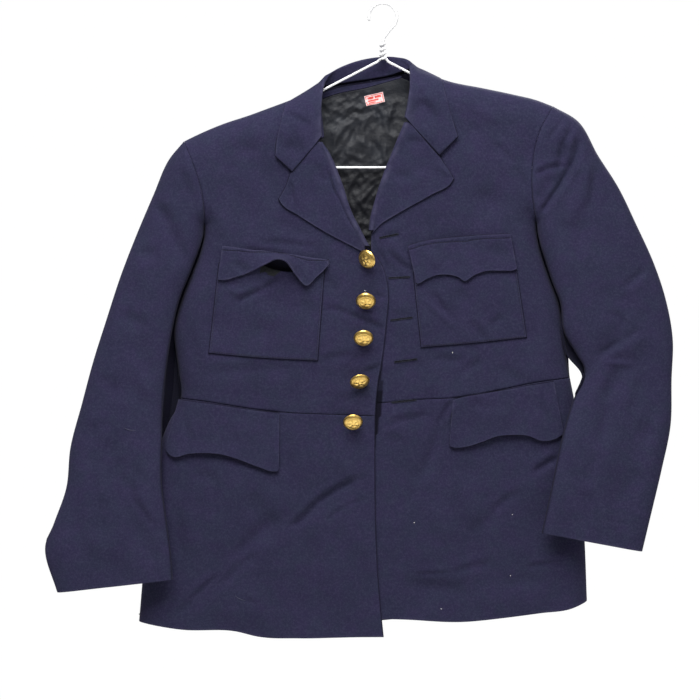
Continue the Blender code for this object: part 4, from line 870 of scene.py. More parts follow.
def panel_rows(armhole, side, share, step, underarm_lines, side_lines):
    """Rows of a panel: past the armhole, whose part is the given share, then down the side."""
    upper, _ = spread_table(armhole, step, FOLD_LINES, underarm_lines)
    lower, _ = spread_table(side, step, side_lines, EDGE_LINES)
    return np.concatenate([upper * share, share + lower[1:] * (1 - share)]), len(upper)


def beside_armhole(armhole, side, rows, split):
    """The outer edge of a panel, whose rows up to the split lie along the armhole."""
    upper = along(armhole, rows[:split] / rows[split - 1])
    lower = along(side, (rows[split - 1:] - rows[split - 1]) / (1 - rows[split - 1]))
    return np.vstack([upper, lower[1:]])


def inner_edge(shoulder, crest, roll, edge, outward, rows):
    """The edge of a front from the neck, under the roll of its lapel, down to the waist."""
    neck = moved(crest, outward * NECK_EDGE) + moved(roll, outward * ROLL_WIDTH)
    return along((shoulder[0],) + neck + edge[1:], rows)


def front_shade(points, across, over):
    """The shade along the edge of the right front, which lies over, and on the strip of the left
    front that shows beside it."""
    if over:
        return np.broadcast_to(EDGE_SHADE * (across < EDGE_SHADE_WIDTH), points.shape[:-1])
    x, drop = points[..., 0], points[..., 1]
    limit = STRIP_X - STRIP_LEAN * np.maximum(drop - STRIP_WAIST, 0)
    shade = np.zeros(drop.shape)
    for top, amount in STRIP_SHADES:
        shade[drop > top] = amount
    return np.where(x < limit, shade, 0.0)


def dip_at_sleeve(columns, width, rows, split):
    """How far a panel sinks beside its seam to the sleeve, which ends at the split."""
    return dip(1 - columns, width)[None] * (np.arange(len(rows)) < split)[:, None]


def upper_front(name, shoulder, armhole, side, waist, inner, rows, split, over):
    """A front from the shoulder to the waist seam. over is for the one that lies over the other."""
    waist = moved(waist, drop=-SEAM / 2)
    columns, width = spread_table(waist, STEP, EDGE_LINES, FOLD_LINES)
    left = inner.copy()
    right = beside_armhole(armhole, side, rows, split)
    top = along(shoulder, columns)
    bottom = along(waist, columns)
    left[-1] = bottom[0]
    right[-1] = bottom[-1]
    flat = coons(top, bottom, left, right, columns, rows)
    y = front_y(flat, over=over)
    height = flat[-1, 0, 1] - flat[0, 0, 1]
    y += dip(1 - rows, height)[:, None] * ease(columns * width / SINK_START)[None]
    y += dip_at_sleeve(columns, width, rows, split)
    below = np.arange(len(rows)) >= split - 1
    y[0] = -SEAM / 2
    y[below, -1] = -SEAM / 2
    folds = {"top": np.ones(len(columns), bool), "right": below}
    # painted shade beside the sleeve, and along the fronts' edges
    shade = -np.exp(-((1 - columns) * width / BESIDE_SLEEVE)**2)[None] * below[:, None]
    shade = np.minimum(shade, front_shade(flat, columns * width, over))
    wall(name, to_space(flat, y), CLOTH, facing=FORWARD, folds=folds,
         seam=(slice(0, split), -1), sewn=("bottom",), worn=("left",), rub_and_painted_light=shade, outlined=False)


def skirt_front(name, waist, hem, edge, side, over):
    """A front below the waist seam."""
    columns, width = spread_table(waist, STEP, EDGE_LINES, FOLD_LINES)
    rows, height = spread_table(edge, STEP, EDGE_LINES, EDGE_LINES)
    top = along(moved(waist, drop=SEAM / 2), columns)
    bottom = along(hem, columns)
    left = along(edge, rows)
    right = along(side, rows)
    left[0] = top[0]
    right[0] = top[-1]
    flat = coons(top, bottom, left, right, columns, rows)
    y = front_y(flat, over=over)
    y += dip(rows, height)[:, None] * ease(columns * width / SINK_START)[None]
    y[:, -1] = -SEAM / 2
    folds = {"right": np.ones(len(rows), bool)}
    wall(name, to_space(flat, y), CLOTH, facing=FORWARD, folds=folds,
         sewn=("top",), worn=("bottom",), rub_and_painted_light=front_shade(flat, columns * width, over),
         outlined=False)


def back_half(name, neckline, shoulder, armhole, side, hem, outward):
    """One of the two backs, which meet at the centre seam."""
    neck = spread(BACK_NECK_WIDTH, STEP, EDGE_LINES, ())
    ridge = spread(BACK_RIDGE_WIDTH, BACK_STEP, (), FOLD_LINES)
    columns = np.concatenate([neck * NECK_SHARE, NECK_SHARE + ridge[1:] * (1 - NECK_SHARE)])
    rows, split = panel_rows(armhole, side, BACK_UNDERARM_SHARE, BACK_STEP, FOLD_LINES[:5], FOLD_LINES[4:7])
    top = np.vstack([along(neckline, neck), along(shoulder, ridge)[1:]])
    left = along(CENTRE_BACK, rows)
    left[:, 0] += outward * SEAM / 2
    right = beside_armhole(armhole, side, rows, split)
    bottom = along(moved(hem, drop=-BACK_HEM_RISE), columns)
    top[0] = left[0]
    bottom[0] = left[-1]
    right[-1] = bottom[-1]
    flat = coons(top, bottom, left, right, columns, rows)
    y = back_y(flat)
    y -= dip(columns, BACK_WIDTH)[None]
    y -= dip_at_sleeve(columns, BACK_WIDTH, rows, split)
    on_ridge = np.arange(len(columns)) >= len(neck) - 1
    below = np.arange(len(rows)) >= split - 1
    y[0, on_ridge] = SEAM / 2
    y[below, -1] = SEAM / 2
    folds = {"top": on_ridge, "right": below}
    wall(name, to_space(flat, y), CLOTH, facing=(0, 1, 0), folds=folds,
         seam=(slice(0, split), -1), worn=("bottom",), outlined=False)


# ---- sleeves -------------------------------------------------------------------------------

SLEEVE_WIDTH = 118.0        # rough sizes that set the grid of a sleeve
SLEEVE_LENGTH = 590.0
HEAD_START = 6.0            # a sleeve stands proud from this far below its armhole
HEAD_END = (8.0, 40.0)      # and from here on it falls back, over this length
HEAD_SIDES = 0.25           # share of its width over which it stands less proud at its folds
UNDER_SLEEVE = 1.6          # a sleeve has painted shade this far from its inner fold
UNDER_SHADE = -0.8
UNDER_START = (0.02, 0.05)  # shares of its length where the shade starts and over which it grows


def sleeve_half(name, table, armhole, front):
    """The top or the under half of a sleeve, between its outer and its inner fold."""
    table = np.array(table, float)
    outward = math.copysign(1.0, table[0, 0])
    step = STEP if front else BACK_STEP
    columns = spread(SLEEVE_WIDTH, step, FOLD_LINES, FOLD_LINES)
    rows = spread(SLEEVE_LENGTH, step, EDGE_LINES, EDGE_LINES)
    sections = along(table, rows)
    outer = sections[:, 0:2]
    inner = sections[:, 2:4]
    flat = between(outer[:, None], inner[:, None], columns[None, :, None])
    seam = along(armhole, columns) + np.array((outward * SEAM, 0.0))
    fade = 1 - ease(rows / ARMHOLE_BLEND)
    flat = flat + fade[:, None, None] * (seam - flat[0])[None]
    middle = flat[len(rows) // 2, len(columns) // 2]
    outer_gap = fold_distance(flat, smooth(table[:, 0:2]), middle)
    inner_gap = fold_distance(flat, smooth(table[:, 2:4]), middle)
    gap = np.minimum(np.abs(outer_gap), np.abs(inner_gap))
    gap[:, 0] = 0
    gap[:, -1] = 0
    depths = SLEEVE_HALF_DEPTH if front else SLEEVE_BACK_DEPTH
    height = rounded(gap, 1.0, SLEEVE_ROUND, 0.0) * between(depths[0], depths[1], rows)[:, None]
    hollows = folds_at(flat, SLEEVE_FOLDS) + waves_at(flat)
    hollows += creases_at(flat, SLEEVE_CREASES if front else BACK_SLEEVE_CREASES)
    height = height - hollows * ease(gap / SLEEVE_ROUND)
    middle_y = -between(sections[:, 4:5], sections[:, 5:6], columns[None])
    side = -1 if front else 1
    y = middle_y + side * height
    body = front_y(seam) if front else back_y(seam)
    body[0] = 0
    body[-1] = 0
    y = y + fade[:, None] * (body - y[0])[None]
    down = rows * SLEEVE_LENGTH
    proud = HEAD_RISE * ease(down / HEAD_START) * (1 - ease((down - HEAD_END[0]) / HEAD_END[1]))
    from_folds = np.minimum(columns, 1 - columns) / HEAD_SIDES
    y += side * (proud - dip(rows, SLEEVE_LENGTH))[:, None] * ease(from_folds)[None]
    y[:, 0] += side * SEAM / 2
    y[:, -1] += side * SEAM / 2
    both = np.ones(len(rows), bool)
    width = np.linalg.norm(inner - outer, axis=1)[:, None]
    # painted shade beside the inner fold
    shade = UNDER_SHADE * np.exp(-((1 - columns) * width / UNDER_SLEEVE)**2)
    shade = shade * ease((rows - UNDER_START[0]) / UNDER_START[1])[:, None]
    wall(name, to_space(flat, y), CLOTH, facing=(0, side, 0),
         folds={"left": both, "right": both}, seam=(0, slice(0, len(columns))), worn=("bottom",),
         rub_and_painted_light=shade, outlined=False)


# ---- collar and lapels ---------------------------------------------------------------------

COLLAR_STEPS = 11           # grid lines from one station of the collar to the next
# the grid lines of the fall's lower half, as shares of the way from its edge to its middle
FALL_EDGE = (0.0, 0.03, 0.07, 0.12, 0.19, 0.27, 0.36, 0.45, 0.54, 0.63, 0.72, 0.81, 0.91)
FALL_LINES = 18             # grid lines from the middle to the crest
STAND_LINES = 9             # and down the stand
FOLD_TURN = range(14, 171, 12)          # degrees of the lines round the fold
RIDGE_BLEND = 4.0           # the fall turns from front to back over this depth
SHOULDER_LEAF_LIFT = 3.0    # it lies this far out where it crosses the shoulders,
LEAF_BLEND = (60, 40)       # up to this drop, and less so over the next stretch
OUTSIDE_BLEND = 2.5         # the fall keeps its own depth this far outside the body's outline
LEAF_CREASE_START = 12.0    # its creases grow over this distance from the body's outline
CREST_REACH = 16.0          # it comes down from its crest to the body's faces within this
CALM_REACH = 15.0           # it is smoothed where its crest lies within this of the folds' plane
CALMING_ROUNDS = 16
CREST_WEAR_AND_HIGHLIGHT = 1.0            # how much lighter the crest of the collar is coloured, part wear and part painted highlight
CREST_LINES = 8             # over this many grid lines
CREST_FRONT = 12.0          # full this far before the folds' plane, and nothing behind it
ROLL_WEAR_AND_HIGHLIGHT = 0.6             # how much lighter the roll of a lapel is coloured, part wear and part painted highlight
ROLL_REACH = 3.0            # over this width
LAPEL_SPLIT = 0.62          # share of a lapel's columns that lie along its gorge
LAPEL_CREASE_GROWTH = 9     # its creases are full past the first ninth of its width


def push_out(points, lift, crest):
    """Points of the collar's fall, moved out of the body to lie lift from its faces."""
    flat = np.stack([points[..., 0], -APEX_DROP - points[..., 2]], axis=-1)
    y = points[..., 1]
    behind = ease((y + RIDGE_BLEND) / (2 * RIDGE_BLEND))
    below_shoulder = ease((flat[..., 1] - LEAF_BLEND[0]) / LEAF_BLEND[1])
    lift = SHOULDER_LEAF_LIFT + (lift - SHOULDER_LEAF_LIFT) * below_shoulder
    pushed = front_y(flat, lift) * (1 - behind) + back_y(flat, lift) * behind
    distance = body_distance(flat, FRONT_SIDES + NECK_RIDGES)
    outside = ease((-lift - distance) / OUTSIDE_BLEND)
    creases = creases_at(flat, LAPEL_CREASES) * ease(distance / LEAF_CREASE_START)
    pushed = pushed + np.where(y < 0, creases, 0)
    settled = (1 - outside) * ease(np.linalg.norm(points - crest, axis=-1) / CREST_REACH)
    result = points.copy()
    result[..., 1] = y + settled * (pushed - y)
    return result


def evened(rows, rounds):
    """The rows, each drawn towards its neighbours a number of times, the ends kept."""
    result = rows.copy()
    for _ in range(rounds):
        result[1:-1] = 0.25 * result[:-2] + 0.5 * result[1:-1] + 0.25 * result[2:]
    return result


def collar_curves():
    """The smooth lines along the foot, the crest, the middle and the edge of the collar."""
    table = np.array(COLLAR, float)
    crest_y = smooth(table[:, (3, 4, 5)], steps=COLLAR_STEPS)[:, 2]
    curves = []
    for columns in ((0, 1, 2), (3, 4, 5), (6, 7), (8, 9)):
        curve = smooth(table[:, columns], steps=COLLAR_STEPS)
        y = curve[:, 2] if len(columns) == 3 else crest_y
        curves.append(to_space(curve[:, :2], y))
    return curves


def collar_falls(crest, middle, edge):
    """Rows of points from the edge of the fall to beside its crest, even over the shoulders."""
    falls = []
    for r in range(len(crest)):
        fall = [edge[r] + (middle[r] - edge[r]) * share for share in FALL_EDGE]
        fall += [middle[r] + (crest[r] - middle[r]) * k / FALL_LINES for k in range(FALL_LINES - 1)]
        falls.append(push_out(np.array(fall), LEAF_LIFT, crest[r]))
    falls = np.array(falls)
    over_shoulder = np.exp(-(crest[:, 1] / CALM_REACH)**4)[:, None, None]
    for axes in ((0, 1, 2), (1, 0, 2)):
        calm = evened(falls.transpose(axes), CALMING_ROUNDS).transpose(axes)
        falls = falls + (calm - falls) * over_shoulder
    return falls


def collar():
    """One folded wall: the fall up to its crest, the turn over it, and the stand down to its foot."""
    foot, crest, middle, edge = collar_curves()
    falls = collar_falls(crest, middle, edge)
    downs = evened(falls[:, -1] - crest, 2 * CALMING_ROUNDS)
    inwards = evened(foot - crest, 2 * CALMING_ROUNDS)
    grid = []
    for r, fall in enumerate(falls):
        down = downs[r] / np.linalg.norm(downs[r])
        inward = inwards[r] - down * inwards[r].dot(down)
        inward /= np.linalg.norm(inward)
        near_crest = ease(1 - np.linalg.norm(fall - crest[r], axis=-1) / CREST_REACH)
        fall = fall - inward * FOLD_RADIUS * near_crest[:, None]
        centre = crest[r] + down * FOLD_RADIUS
        turn = [centre - FOLD_RADIUS * (math.cos(angle) * inward + math.sin(angle) * down)
                for angle in np.radians(FOLD_TURN)]
        stand = [turn[-1] + (foot[r] - turn[-1]) * k / STAND_LINES for k in range(1, STAND_LINES + 1)]
        grid.append(list(fall) + turn + stand)
    grid = np.array(grid)
    crest_line = falls.shape[1] + len(FOLD_TURN) // 2
    from_crest = np.abs(np.arange(grid.shape[1]) - crest_line)
    at_front = ease(-grid[:, crest_line, 1] / CREST_FRONT)[:, None]
    # the crest is coloured lighter where it faces forward: part wear, part painted highlight
    wall("collar", grid, CLOTH, worn=("left", "top", "bottom"),
         rub_and_painted_light=CREST_WEAR_AND_HIGHLIGHT * at_front * np.exp(-(from_crest / CREST_LINES)**2))


def lapel(name, gorge, notch, lead, roll, panel_edge, outward, over):
    """A turned-over facing, from its roll at the front's edge to its gorge, notch and lead."""
    gorge_columns, _ = spread_table(gorge, FINE_STEP)
    notch_columns, _ = spread_table(notch, FINE_STEP, (), EDGE_LINES[:2])
    columns = np.concatenate([gorge_columns * LAPEL_SPLIT,
                              LAPEL_SPLIT + notch_columns[1:] * (1 - LAPEL_SPLIT)])
    rows, _ = spread_table(roll, FINE_STEP, EDGE_LINES[:2], EDGE_LINES[:2])
    top = np.vstack([along(gorge, gorge_columns), along(notch, notch_columns)[1:]])
    drops = gorge[0][1] + (roll[-1][1] - gorge[0][1]) * rows
    edge = np.column_stack([np.interp(drops, panel_edge[:, 1], panel_edge[:, 0]), drops])
    edge_y = np.interp(drops, panel_edge[:, 1], front_y(panel_edge, over=over))
    left = edge + np.array((outward * LAPEL_START, 0.0))
    right = along(lead, rows)
    top[0] = left[0]
    bottom = left[-1] + (right[-1] - left[-1]) * columns[:, None]
    flat = coons(top, bottom, left, right, columns, rows)
    fall = []
    for c, share in enumerate(columns):
        lift = LAPEL_LIFT + LAPEL_PUFF * (1 - share)**2
        creases = creases_at(flat[:, c], LAPEL_CREASES) * min(1, LAPEL_CREASE_GROWTH * share)
        fall.append(to_space(flat[:, c], front_y(flat[:, c], lift, over) + creases))
    turn = []
    for inward, out in smooth(LAPEL_ROLL + ((-LAPEL_START, LAPEL_LIFT + LAPEL_PUFF),), steps=4)[:-1]:
        turn.append(to_space(edge - np.array((outward * inward, 0.0)), edge_y - out))
    grid = np.stack(turn + fall, axis=1)
    from_roll = np.abs(grid[..., 0] - grid[:, len(turn) - 3:len(turn) - 2, 0])
    # the roll is coloured lighter: part wear, part painted highlight
    wall(name, grid, CLOTH, facing=FORWARD, worn=("right", "top"),
         rub_and_painted_light=ROLL_WEAR_AND_HIGHLIGHT * np.exp(-(from_roll / ROLL_REACH)**2))


# ---- pockets and flaps ---------------------------------------------------------------------

POCKET_HEIGHT = 110.0       # rough sizes that set the grids of a pocket and of a flap
FLAP_LENGTH = 55.0
POCKET_EDGE = 0.5           # a pocket's edge lies this far back
POCKET_EDGE_WIDTH = 5.0     # over this width
FLAP_STITCH_DROP = 7.0      # the row of stitches below a flap's top edge
STITCH_LINES = (-3.0, -2.0, -1.2, -0.6, 0.0, 0.6, 1.2, 2.0, 3.0)    # grid lines beside that row
STITCH_WIDTH = 1.1          # it draws the flap in over this width
BAND_PUFF = 0.6             # and the flap swells this much above and below it
HIP_BAND_PUFF = 0.1
SWELL_START = 2.5           # growing over this length from the flap's top
STAND_OUT = 1.5             # a flap bends out as this power of the way down
CORNER_CUT = 0.3            # a corner is cut at this share of its radius from where it was
BREAST_CORNER = 2.5         # radii of the flaps' lower corners
HIP_CORNER = 5.0


def pocket(name, table, over):
    """A patch pocket, whose top edge gapes."""
    columns, width = spread_table(table["bottom"], FINE_STEP, EDGE_LINES, EDGE_LINES)
    rows = spread(POCKET_HEIGHT, FINE_STEP, EDGE_LINES, EDGE_LINES)
    top = along(table["top"], columns)
    bottom = along(table["bottom"], columns)
    flat = between(top[None], bottom[None], rows[:, None, None])
    bulge = np.sin(np.pi * columns)[None]**2 * (1 - rows[:, None])**2
    y = front_y(flat, POCKET_LIFT, over) - table["gape"] * bulge
    side_gap = np.minimum(columns, 1 - columns)[None] * width
    foot_gap = (1 - rows)[:, None] * POCKET_HEIGHT
    y += POCKET_EDGE * (1 - ease(np.minimum(side_gap, foot_gap) / POCKET_EDGE_WIDTH))
    wall(name, to_space(flat, y), TRIM, facing=FORWARD, worn=("left", "right", "bottom", "top"))


def round_corners(table, radius):
    """A flap's table with its two lower corners rounded, by rows between the outer ones."""
    rows = np.array(table, float)
    for first, second in ((0, 1), (-1, -2)):
        corner = rows[first].copy()
        side = corner[0:2] - corner[2:4]
        side /= np.linalg.norm(side)
        away = rows[second] - corner
        away = away / np.linalg.norm(away[2:4])
        middle = corner + away * CORNER_CUT * radius
        middle[2:4] += side * CORNER_CUT * radius
        end = corner + away * radius
        rows[first, 2:4] += side * radius
        if first == 0:
            rows = np.vstack([rows[:1], middle, end, rows[1:]])
        else:
            rows = np.vstack([rows[:-1], end, middle, rows[-1:]])
    return rows


def flap(name, table, lift, over, puff=BAND_PUFF, outlined=True):
    """A scalloped flap that hangs from its top edge."""
    sections = smooth(table)
    around = tuple(FLAP_STITCH_DROP + line for line in STITCH_LINES)
    rows = spread(FLAP_LENGTH, FINE_STEP, EDGE_LINES, EDGE_LINES, around)
    flat = between(sections[None, :, 0:2], sections[None, :, 2:4], rows[:, None, None])
    stand_out = sections[None, :, 4] * rows[:, None]**STAND_OUT
    down = rows * FLAP_LENGTH
    swell = puff * (1 - np.exp(-((down - FLAP_STITCH_DROP) / STITCH_WIDTH)**2))
    swell *= ease(down / SWELL_START)
    y = front_y(flat, lift, over) - stand_out - swell[:, None]
    wall(name, to_space(flat, y), TRIM, facing=FORWARD,
         worn=("left", "right", "bottom", "top"), outlined=outlined)


# ---- buttons -------------------------------------------------------------------------------

BUTTON_SIDES = 144
FACE_RADIUS = 11.9          # of the ellipse that the face follows
FACE_FOOT = 1.9             # height of its edge over the back plate
DOME = 5.6                  # height of its middle over the back plate
FACE_RADII = np.concatenate([
    np.linspace(11.75, 9.0, 10), np.linspace(8.8, 7.6, 6), np.linspace(7.2, 0.5, 15),
])
BUTTON_BACK = (             # radius, height of the back plate and the rim
    (3.0, 0.1), (8.0, 0.0), (11.2, 0.1), (12.2, 0.5), (BUTTON_RADIUS, 1.1), (12.4, 1.7), (12.0, 2.1),
)
SHANK_TOP = -0.4
PETALS = 5
BEADS = 30
BOSS_HEIGHT = 0.9           # the relief of the face, all in millimetres
BOSS_RADIUS = 1.9
PETAL_HEIGHT = 0.5
PETAL_RADIUS = 5.2          # at the middle of a petal
PETAL_HALF_LENGTH = 2.2
PETAL_SHARPNESS = 1.3
VEIN_DEPTH = 0.1
VEIN_HALF_LENGTH = 1.8
VEIN_WIDTH = 0.25
RING_HEIGHT = 0.22
RING_RADIUS = 9.0
RING_HALF_WIDTH = 0.5
BEAD_HEIGHT = 0.12
BEAD_RADIUS = 10.5
BEAD_HALF_WIDTH = 0.7
FULL_RELIEF = 0.45          # relief of this height holds no tarnish
BACK_RECESS = 0.7           # how much tarnish the back holds
RIM_RECESS = 0.35           # and the rim, from this height up
RIM_START = 1.0


def button_height(radius, angle):
    """Height of a button's face, with a rosette, a plain ring and a beaded rim in relief."""
    share = np.clip(radius / FACE_RADIUS, 0, 1)
    height = FACE_FOOT + (DOME - FACE_FOOT) * np.sqrt(1 - share**2)
    from_petal = radius - PETAL_RADIUS
    half_turn = PETALS / 2 * angle
    boss = BOSS_HEIGHT * np.exp(-(radius / BOSS_RADIUS)**2)
    petal = PETAL_HEIGHT * np.abs(np.cos(half_turn))**PETAL_SHARPNESS
    petal = petal * np.exp(-(from_petal / PETAL_HALF_LENGTH)**4)
    vein = VEIN_DEPTH * np.exp(-(from_petal / VEIN_HALF_LENGTH)**4)
    vein = vein * np.exp(-(np.sin(half_turn) / VEIN_WIDTH)**2)
    ring = RING_HEIGHT * np.exp(-((radius - RING_RADIUS) / RING_HALF_WIDTH)**2)
    beads = BEAD_HEIGHT * (0.5 + 0.5 * np.cos(BEADS * angle))
    beads = beads * np.exp(-((radius - BEAD_RADIUS) / BEAD_HALF_WIDTH)**2)
    relief = boss + petal - vein + ring + beads
    return height + relief, relief


def button_rings(shank):
    """Rings of points from the end of the shank round to the middle of the face, and how deep in
    the relief each point lies."""
    angles = np.arange(BUTTON_SIDES) * 2 * math.pi / BUTTON_SIDES
    profile = [(radius, height, BACK_RECESS if height < RIM_START else RIM_RECESS)
               for radius, height in ((SHANK_RADIUS, -shank), (SHANK_RADIUS, SHANK_TOP)) + BUTTON_BACK]
    for radius in FACE_RADII:
        height, relief = button_height(radius, angles)
        profile.append((radius, height, np.clip(1 - relief / FULL_RELIEF, 0, 1)))
    rings = [np.stack(np.broadcast_arrays(radius * np.cos(angles), radius * np.sin(angles), height), axis=1)
             for radius, height, _ in profile]
    recess = [np.broadcast_to(deep, angles.shape) for _, _, deep in profile]
    return rings, recess


def button(name, x, drop, droop_degrees, yaw_degrees):
    """A domed button that hangs on its shank, whose foot lies just off the cloth."""
    cloth_y = float(front_y(np.array((x, drop), float), over=True))
    droop = math.radians(droop_degrees)
    yaw = math.radians(yaw_degrees)
    tilt = math.acos(math.cos(droop) * math.cos(yaw))
    shank = (BUTTON_STANDOFF - SEAM - SHANK_RADIUS * math.sin(tilt)) / math.cos(tilt)
    rings, recess = button_rings(shank)
    points = np.vstack(rings + [[(0, 0, -shank)], [(0, 0, button_height(0.0, 0.0)[0])]])
    turn = Matrix.Rotation(yaw, 3, "Z") @ Matrix.Rotation(math.pi / 2 + droop, 3, "X")
    place = np.array((x, cloth_y - BUTTON_STANDOFF, -APEX_DROP - drop))
    points = points @ np.array(turn).T + place
    faces = []
    count = BUTTON_SIDES
    foot = len(rings) * count
    last = foot - count
    for k in range(count):
        after = (k + 1) % count
        faces.append((foot, after, k))
        faces += [(r + k, r + after, r + count + after, r + count + k) for r in range(0, last, count)]
        faces.append((foot + 1, last + k, last + after))
    item = solid(name + "_metal", points, faces, brass)
    marks = item.data.attributes.new("recess", "FLOAT", "POINT")
    marks.data.foreach_set("value", np.concatenate(recess + [[1.0], [0.0]]))
    stand_for(name)


# ---- inside the back -----------------------------------------------------------------------

FACING_TOP = ((-78, 42.5), (-54, 35), (-20, 29.5), (5, 25), (25, 20.4))
FACING_FOOT = ((-78, 51), (-65, 46), (-20, 36), (5, 29), (24, 23.6))
LINING_LIFT = -(CLOTH + LINING + 2.4)
FACING_LIFT = -(CLOTH + LINING + 1.0)
LINING_ARMHOLE_DROP = 6.0
NECK_SPAN = (0.34, 0.63)    # shares of the lining's width where its top runs along the neck
FINE_SHARE = 0.36           # share of its length that shows, which has the finer rows
BILLOW = 2.6                # the lining stands this far off the back in the neck opening,
OPENING_X = -22             # whose middle is here,
OPENING_HALF_WIDTH = 75
OPENING_TOP = (44, 26)      # from this drop on, growing over the next stretch
LINING_ROOM = 0.9           # its creases stand forward by the billow and this at most
LINING_CREASE_DEPTH = 0.5   # shares of the depths in the tables
CRINKLE_DEPTH = 0.8
CREASE_TOP = (34, 14)       # the creases start at this drop, and grow over the next stretch
BAND_X = -20                # the band of the neck is this far either side of here
BAND_HALF_WIDTH = 60
WANDERS = ((5, 0, 1 / 13, 1.3), (4, 1 / 17, 1 / 29, 0))     # sideways, per x, per drop, phase
CRINKLES = (                # sharp little ridges: angle, wave length, height, phase
    (20, 19, 0.50, 0.4), (75, 23, 0.55, 2.2), (128, 15, 0.42, 4.0), (160, 11, 0.30, 1.1),
    (50, 8.5, 0.22, 3.3),
)


def crinkles_at(points):
    """A crumpled lining: ridges along wandering lines."""
    x, drop = points[..., 0], points[..., 1]
    wander = sum(sideways * np.sin(per_x * x + per_drop * drop + phase)
                 for sideways, per_x, per_drop, phase in WANDERS)
    total = np.zeros(points.shape[:-1])
    for angle, wave_length, height, phase in CRINKLES:
        turn = math.radians(angle)
        place = x * math.cos(turn) + drop * math.sin(turn) + wander
        total += height * (1 - 2 * np.abs(np.sin(math.pi * place / wave_length + phase)))
    return total


def inside_y(flat, lift):
    """The lining's face. It follows the back and adds its own creases, which stand forward."""
    x, drop = flat[..., 0], flat[..., 1]
    billow = BILLOW * np.exp(-((x - OPENING_X) / OPENING_HALF_WIDTH)**4)
    billow = billow * ease((drop - OPENING_TOP[0]) / OPENING_TOP[1])
    crease = LINING_CREASE_DEPTH * creases_at(flat, LINING_CREASES) + CRINKLE_DEPTH * crinkles_at(flat)
    beside_band = np.abs(x - BAND_X) > BAND_HALF_WIDTH
    start = ease((drop - CREASE_TOP[0]) / CREASE_TOP[1] + beside_band)
    forward = np.maximum(crease, -LINING_ROOM - billow) * start
    return back_y(flat, lift) - billow - forward


def neck_facing():
    """The band of cloth inside the back of the neck."""
    columns = np.linspace(0, 1, 60)
    rows = np.linspace(0, 1, 7)[:, None, None]
    flat = between(along(FACING_TOP, columns)[None], along(FACING_FOOT, columns)[None], rows)
    y = back_y(flat, FACING_LIFT)
    wall("back_neck_facing", to_space(flat, y), LINING, facing=FORWARD, worn=("bottom",))


def lining_edge(armhole, side, inset, rows):
    """An outer edge of the lining, inside the armhole and the side of the back."""
    edge = along(moved(armhole, inset, LINING_ARMHOLE_DROP)[:-1] + moved(side, inset), rows)
    share = (edge[:, 1] - edge[0, 1]) / (edge[-1, 1] - edge[0, 1])
    edge[:, 1] -= share * LINING_HEM_RISE
    return edge


def back_lining():
    """The lining inside the back, on a finer grid where it shows below the neck."""
    neck_start, neck_end = NECK_SPAN
    neck_columns = np.linspace(neck_start, neck_end, 84)
    right_columns = np.linspace(0, neck_start, 17)[:-1]
    left_columns = np.linspace(neck_end, 1, 18)[1:]
    columns = np.concatenate([right_columns, neck_columns, left_columns])
    rows = np.concatenate([np.linspace(0, FINE_SHARE, 150), np.linspace(FINE_SHARE, 1, 31)[1:]])
    neck = moved(FACING_FOOT, drop=SEAM)
    right_ridge = moved(SHOULDER_RIGHT[::-1], drop=LINING_INSET)[:-1] + neck[:1]
    left_ridge = neck[-1:] + moved(SHOULDER_LEFT[1:], drop=LINING_RIDGE_DROP)
    top = np.vstack([
        along(right_ridge, right_columns / neck_start),
        along(neck, (neck_columns - neck_start) / (neck_end - neck_start)),
        along(left_ridge, (left_columns - neck_end) / (1 - neck_end)),
    ])
    left = lining_edge(ARMHOLE_RIGHT, SIDE_RIGHT + SKIRT_SIDE_RIGHT[1:], LINING_INSET, rows)
    right = lining_edge(ARMHOLE_LEFT, SIDE_LEFT + SKIRT_SIDE_LEFT[1:], -LINING_INSET, rows)
    top[0] = left[0]
    top[-1] = right[0]
    bottom = left[-1] + (right[-1] - left[-1]) * columns[:, None]
    bottom[:, 1] += LINING_HEM_SAG * np.sin(np.pi * columns)
    flat = coons(top, bottom, left, right, columns, rows)
    y = inside_y(flat, LINING_LIFT)
    wall("back_lining", to_space(flat, y), LINING, "satin", facing=FORWARD)


LABEL_TOP = ((-24, 47), (0, 41.5))
LABEL_FOOT = ((-21, 60), (3, 54.5))
LABEL_GRID = (26, 16)       # grid lines across and down the label
BAR_GRID = (9, 4)           # and each of its bars
PRINT_RISE = 0.08
LABEL_BARS = (              # plain bars in place of lettering: across from, to, down from, to
    (0.04, 0.96, 0.05, 0.12), (0.04, 0.96, 0.87, 0.94), (0.04, 0.08, 0.05, 0.94),
    (0.92, 0.96, 0.05, 0.94), (0.14, 0.46, 0.20, 0.42), (0.53, 0.86, 0.20, 0.42),
    (0.14, 0.70, 0.50, 0.66), (0.14, 0.52, 0.72, 0.83),
)


def label_points(left, right, top, foot, grid, lift):
    """A grid of points on the label between shares of its width and of its height."""
    u = np.linspace(left, right, grid[0])[None, :, None]
    v = np.linspace(top, foot, grid[1])[:, None, None]
    flat = between(between(*np.array(LABEL_TOP), u), between(*np.array(LABEL_FOOT), u), v)
    return to_space(flat, inside_y(flat, lift))


def size_label():
    """A small woven label, with plain bars in place of lettering."""
    lift = LINING_LIFT - LABEL - SEAM
    grid = label_points(0, 1, 0, 1, LABEL_GRID, lift)
    wall("size_label", grid, LABEL, "tape", facing=FORWARD)
    vertices = []
    faces = []
    columns, rows = BAR_GRID
    for left, right, top, foot in LABEL_BARS:
        start = len(vertices)
        bar = label_points(left, right, top, foot, BAR_GRID, lift - PRINT_RISE)
        vertices += bar.reshape(-1, 3).tolist()
        for corner in (start + r * columns + c for r in range(rows - 1) for c in range(columns - 1)):
            faces.append((corner, corner + 1, corner + columns + 1, corner + columns))
    printed = solid("label_print", vertices, faces, red_ink)


# ---- hanger, buttonholes, stitches and lint ------------------------------------------------

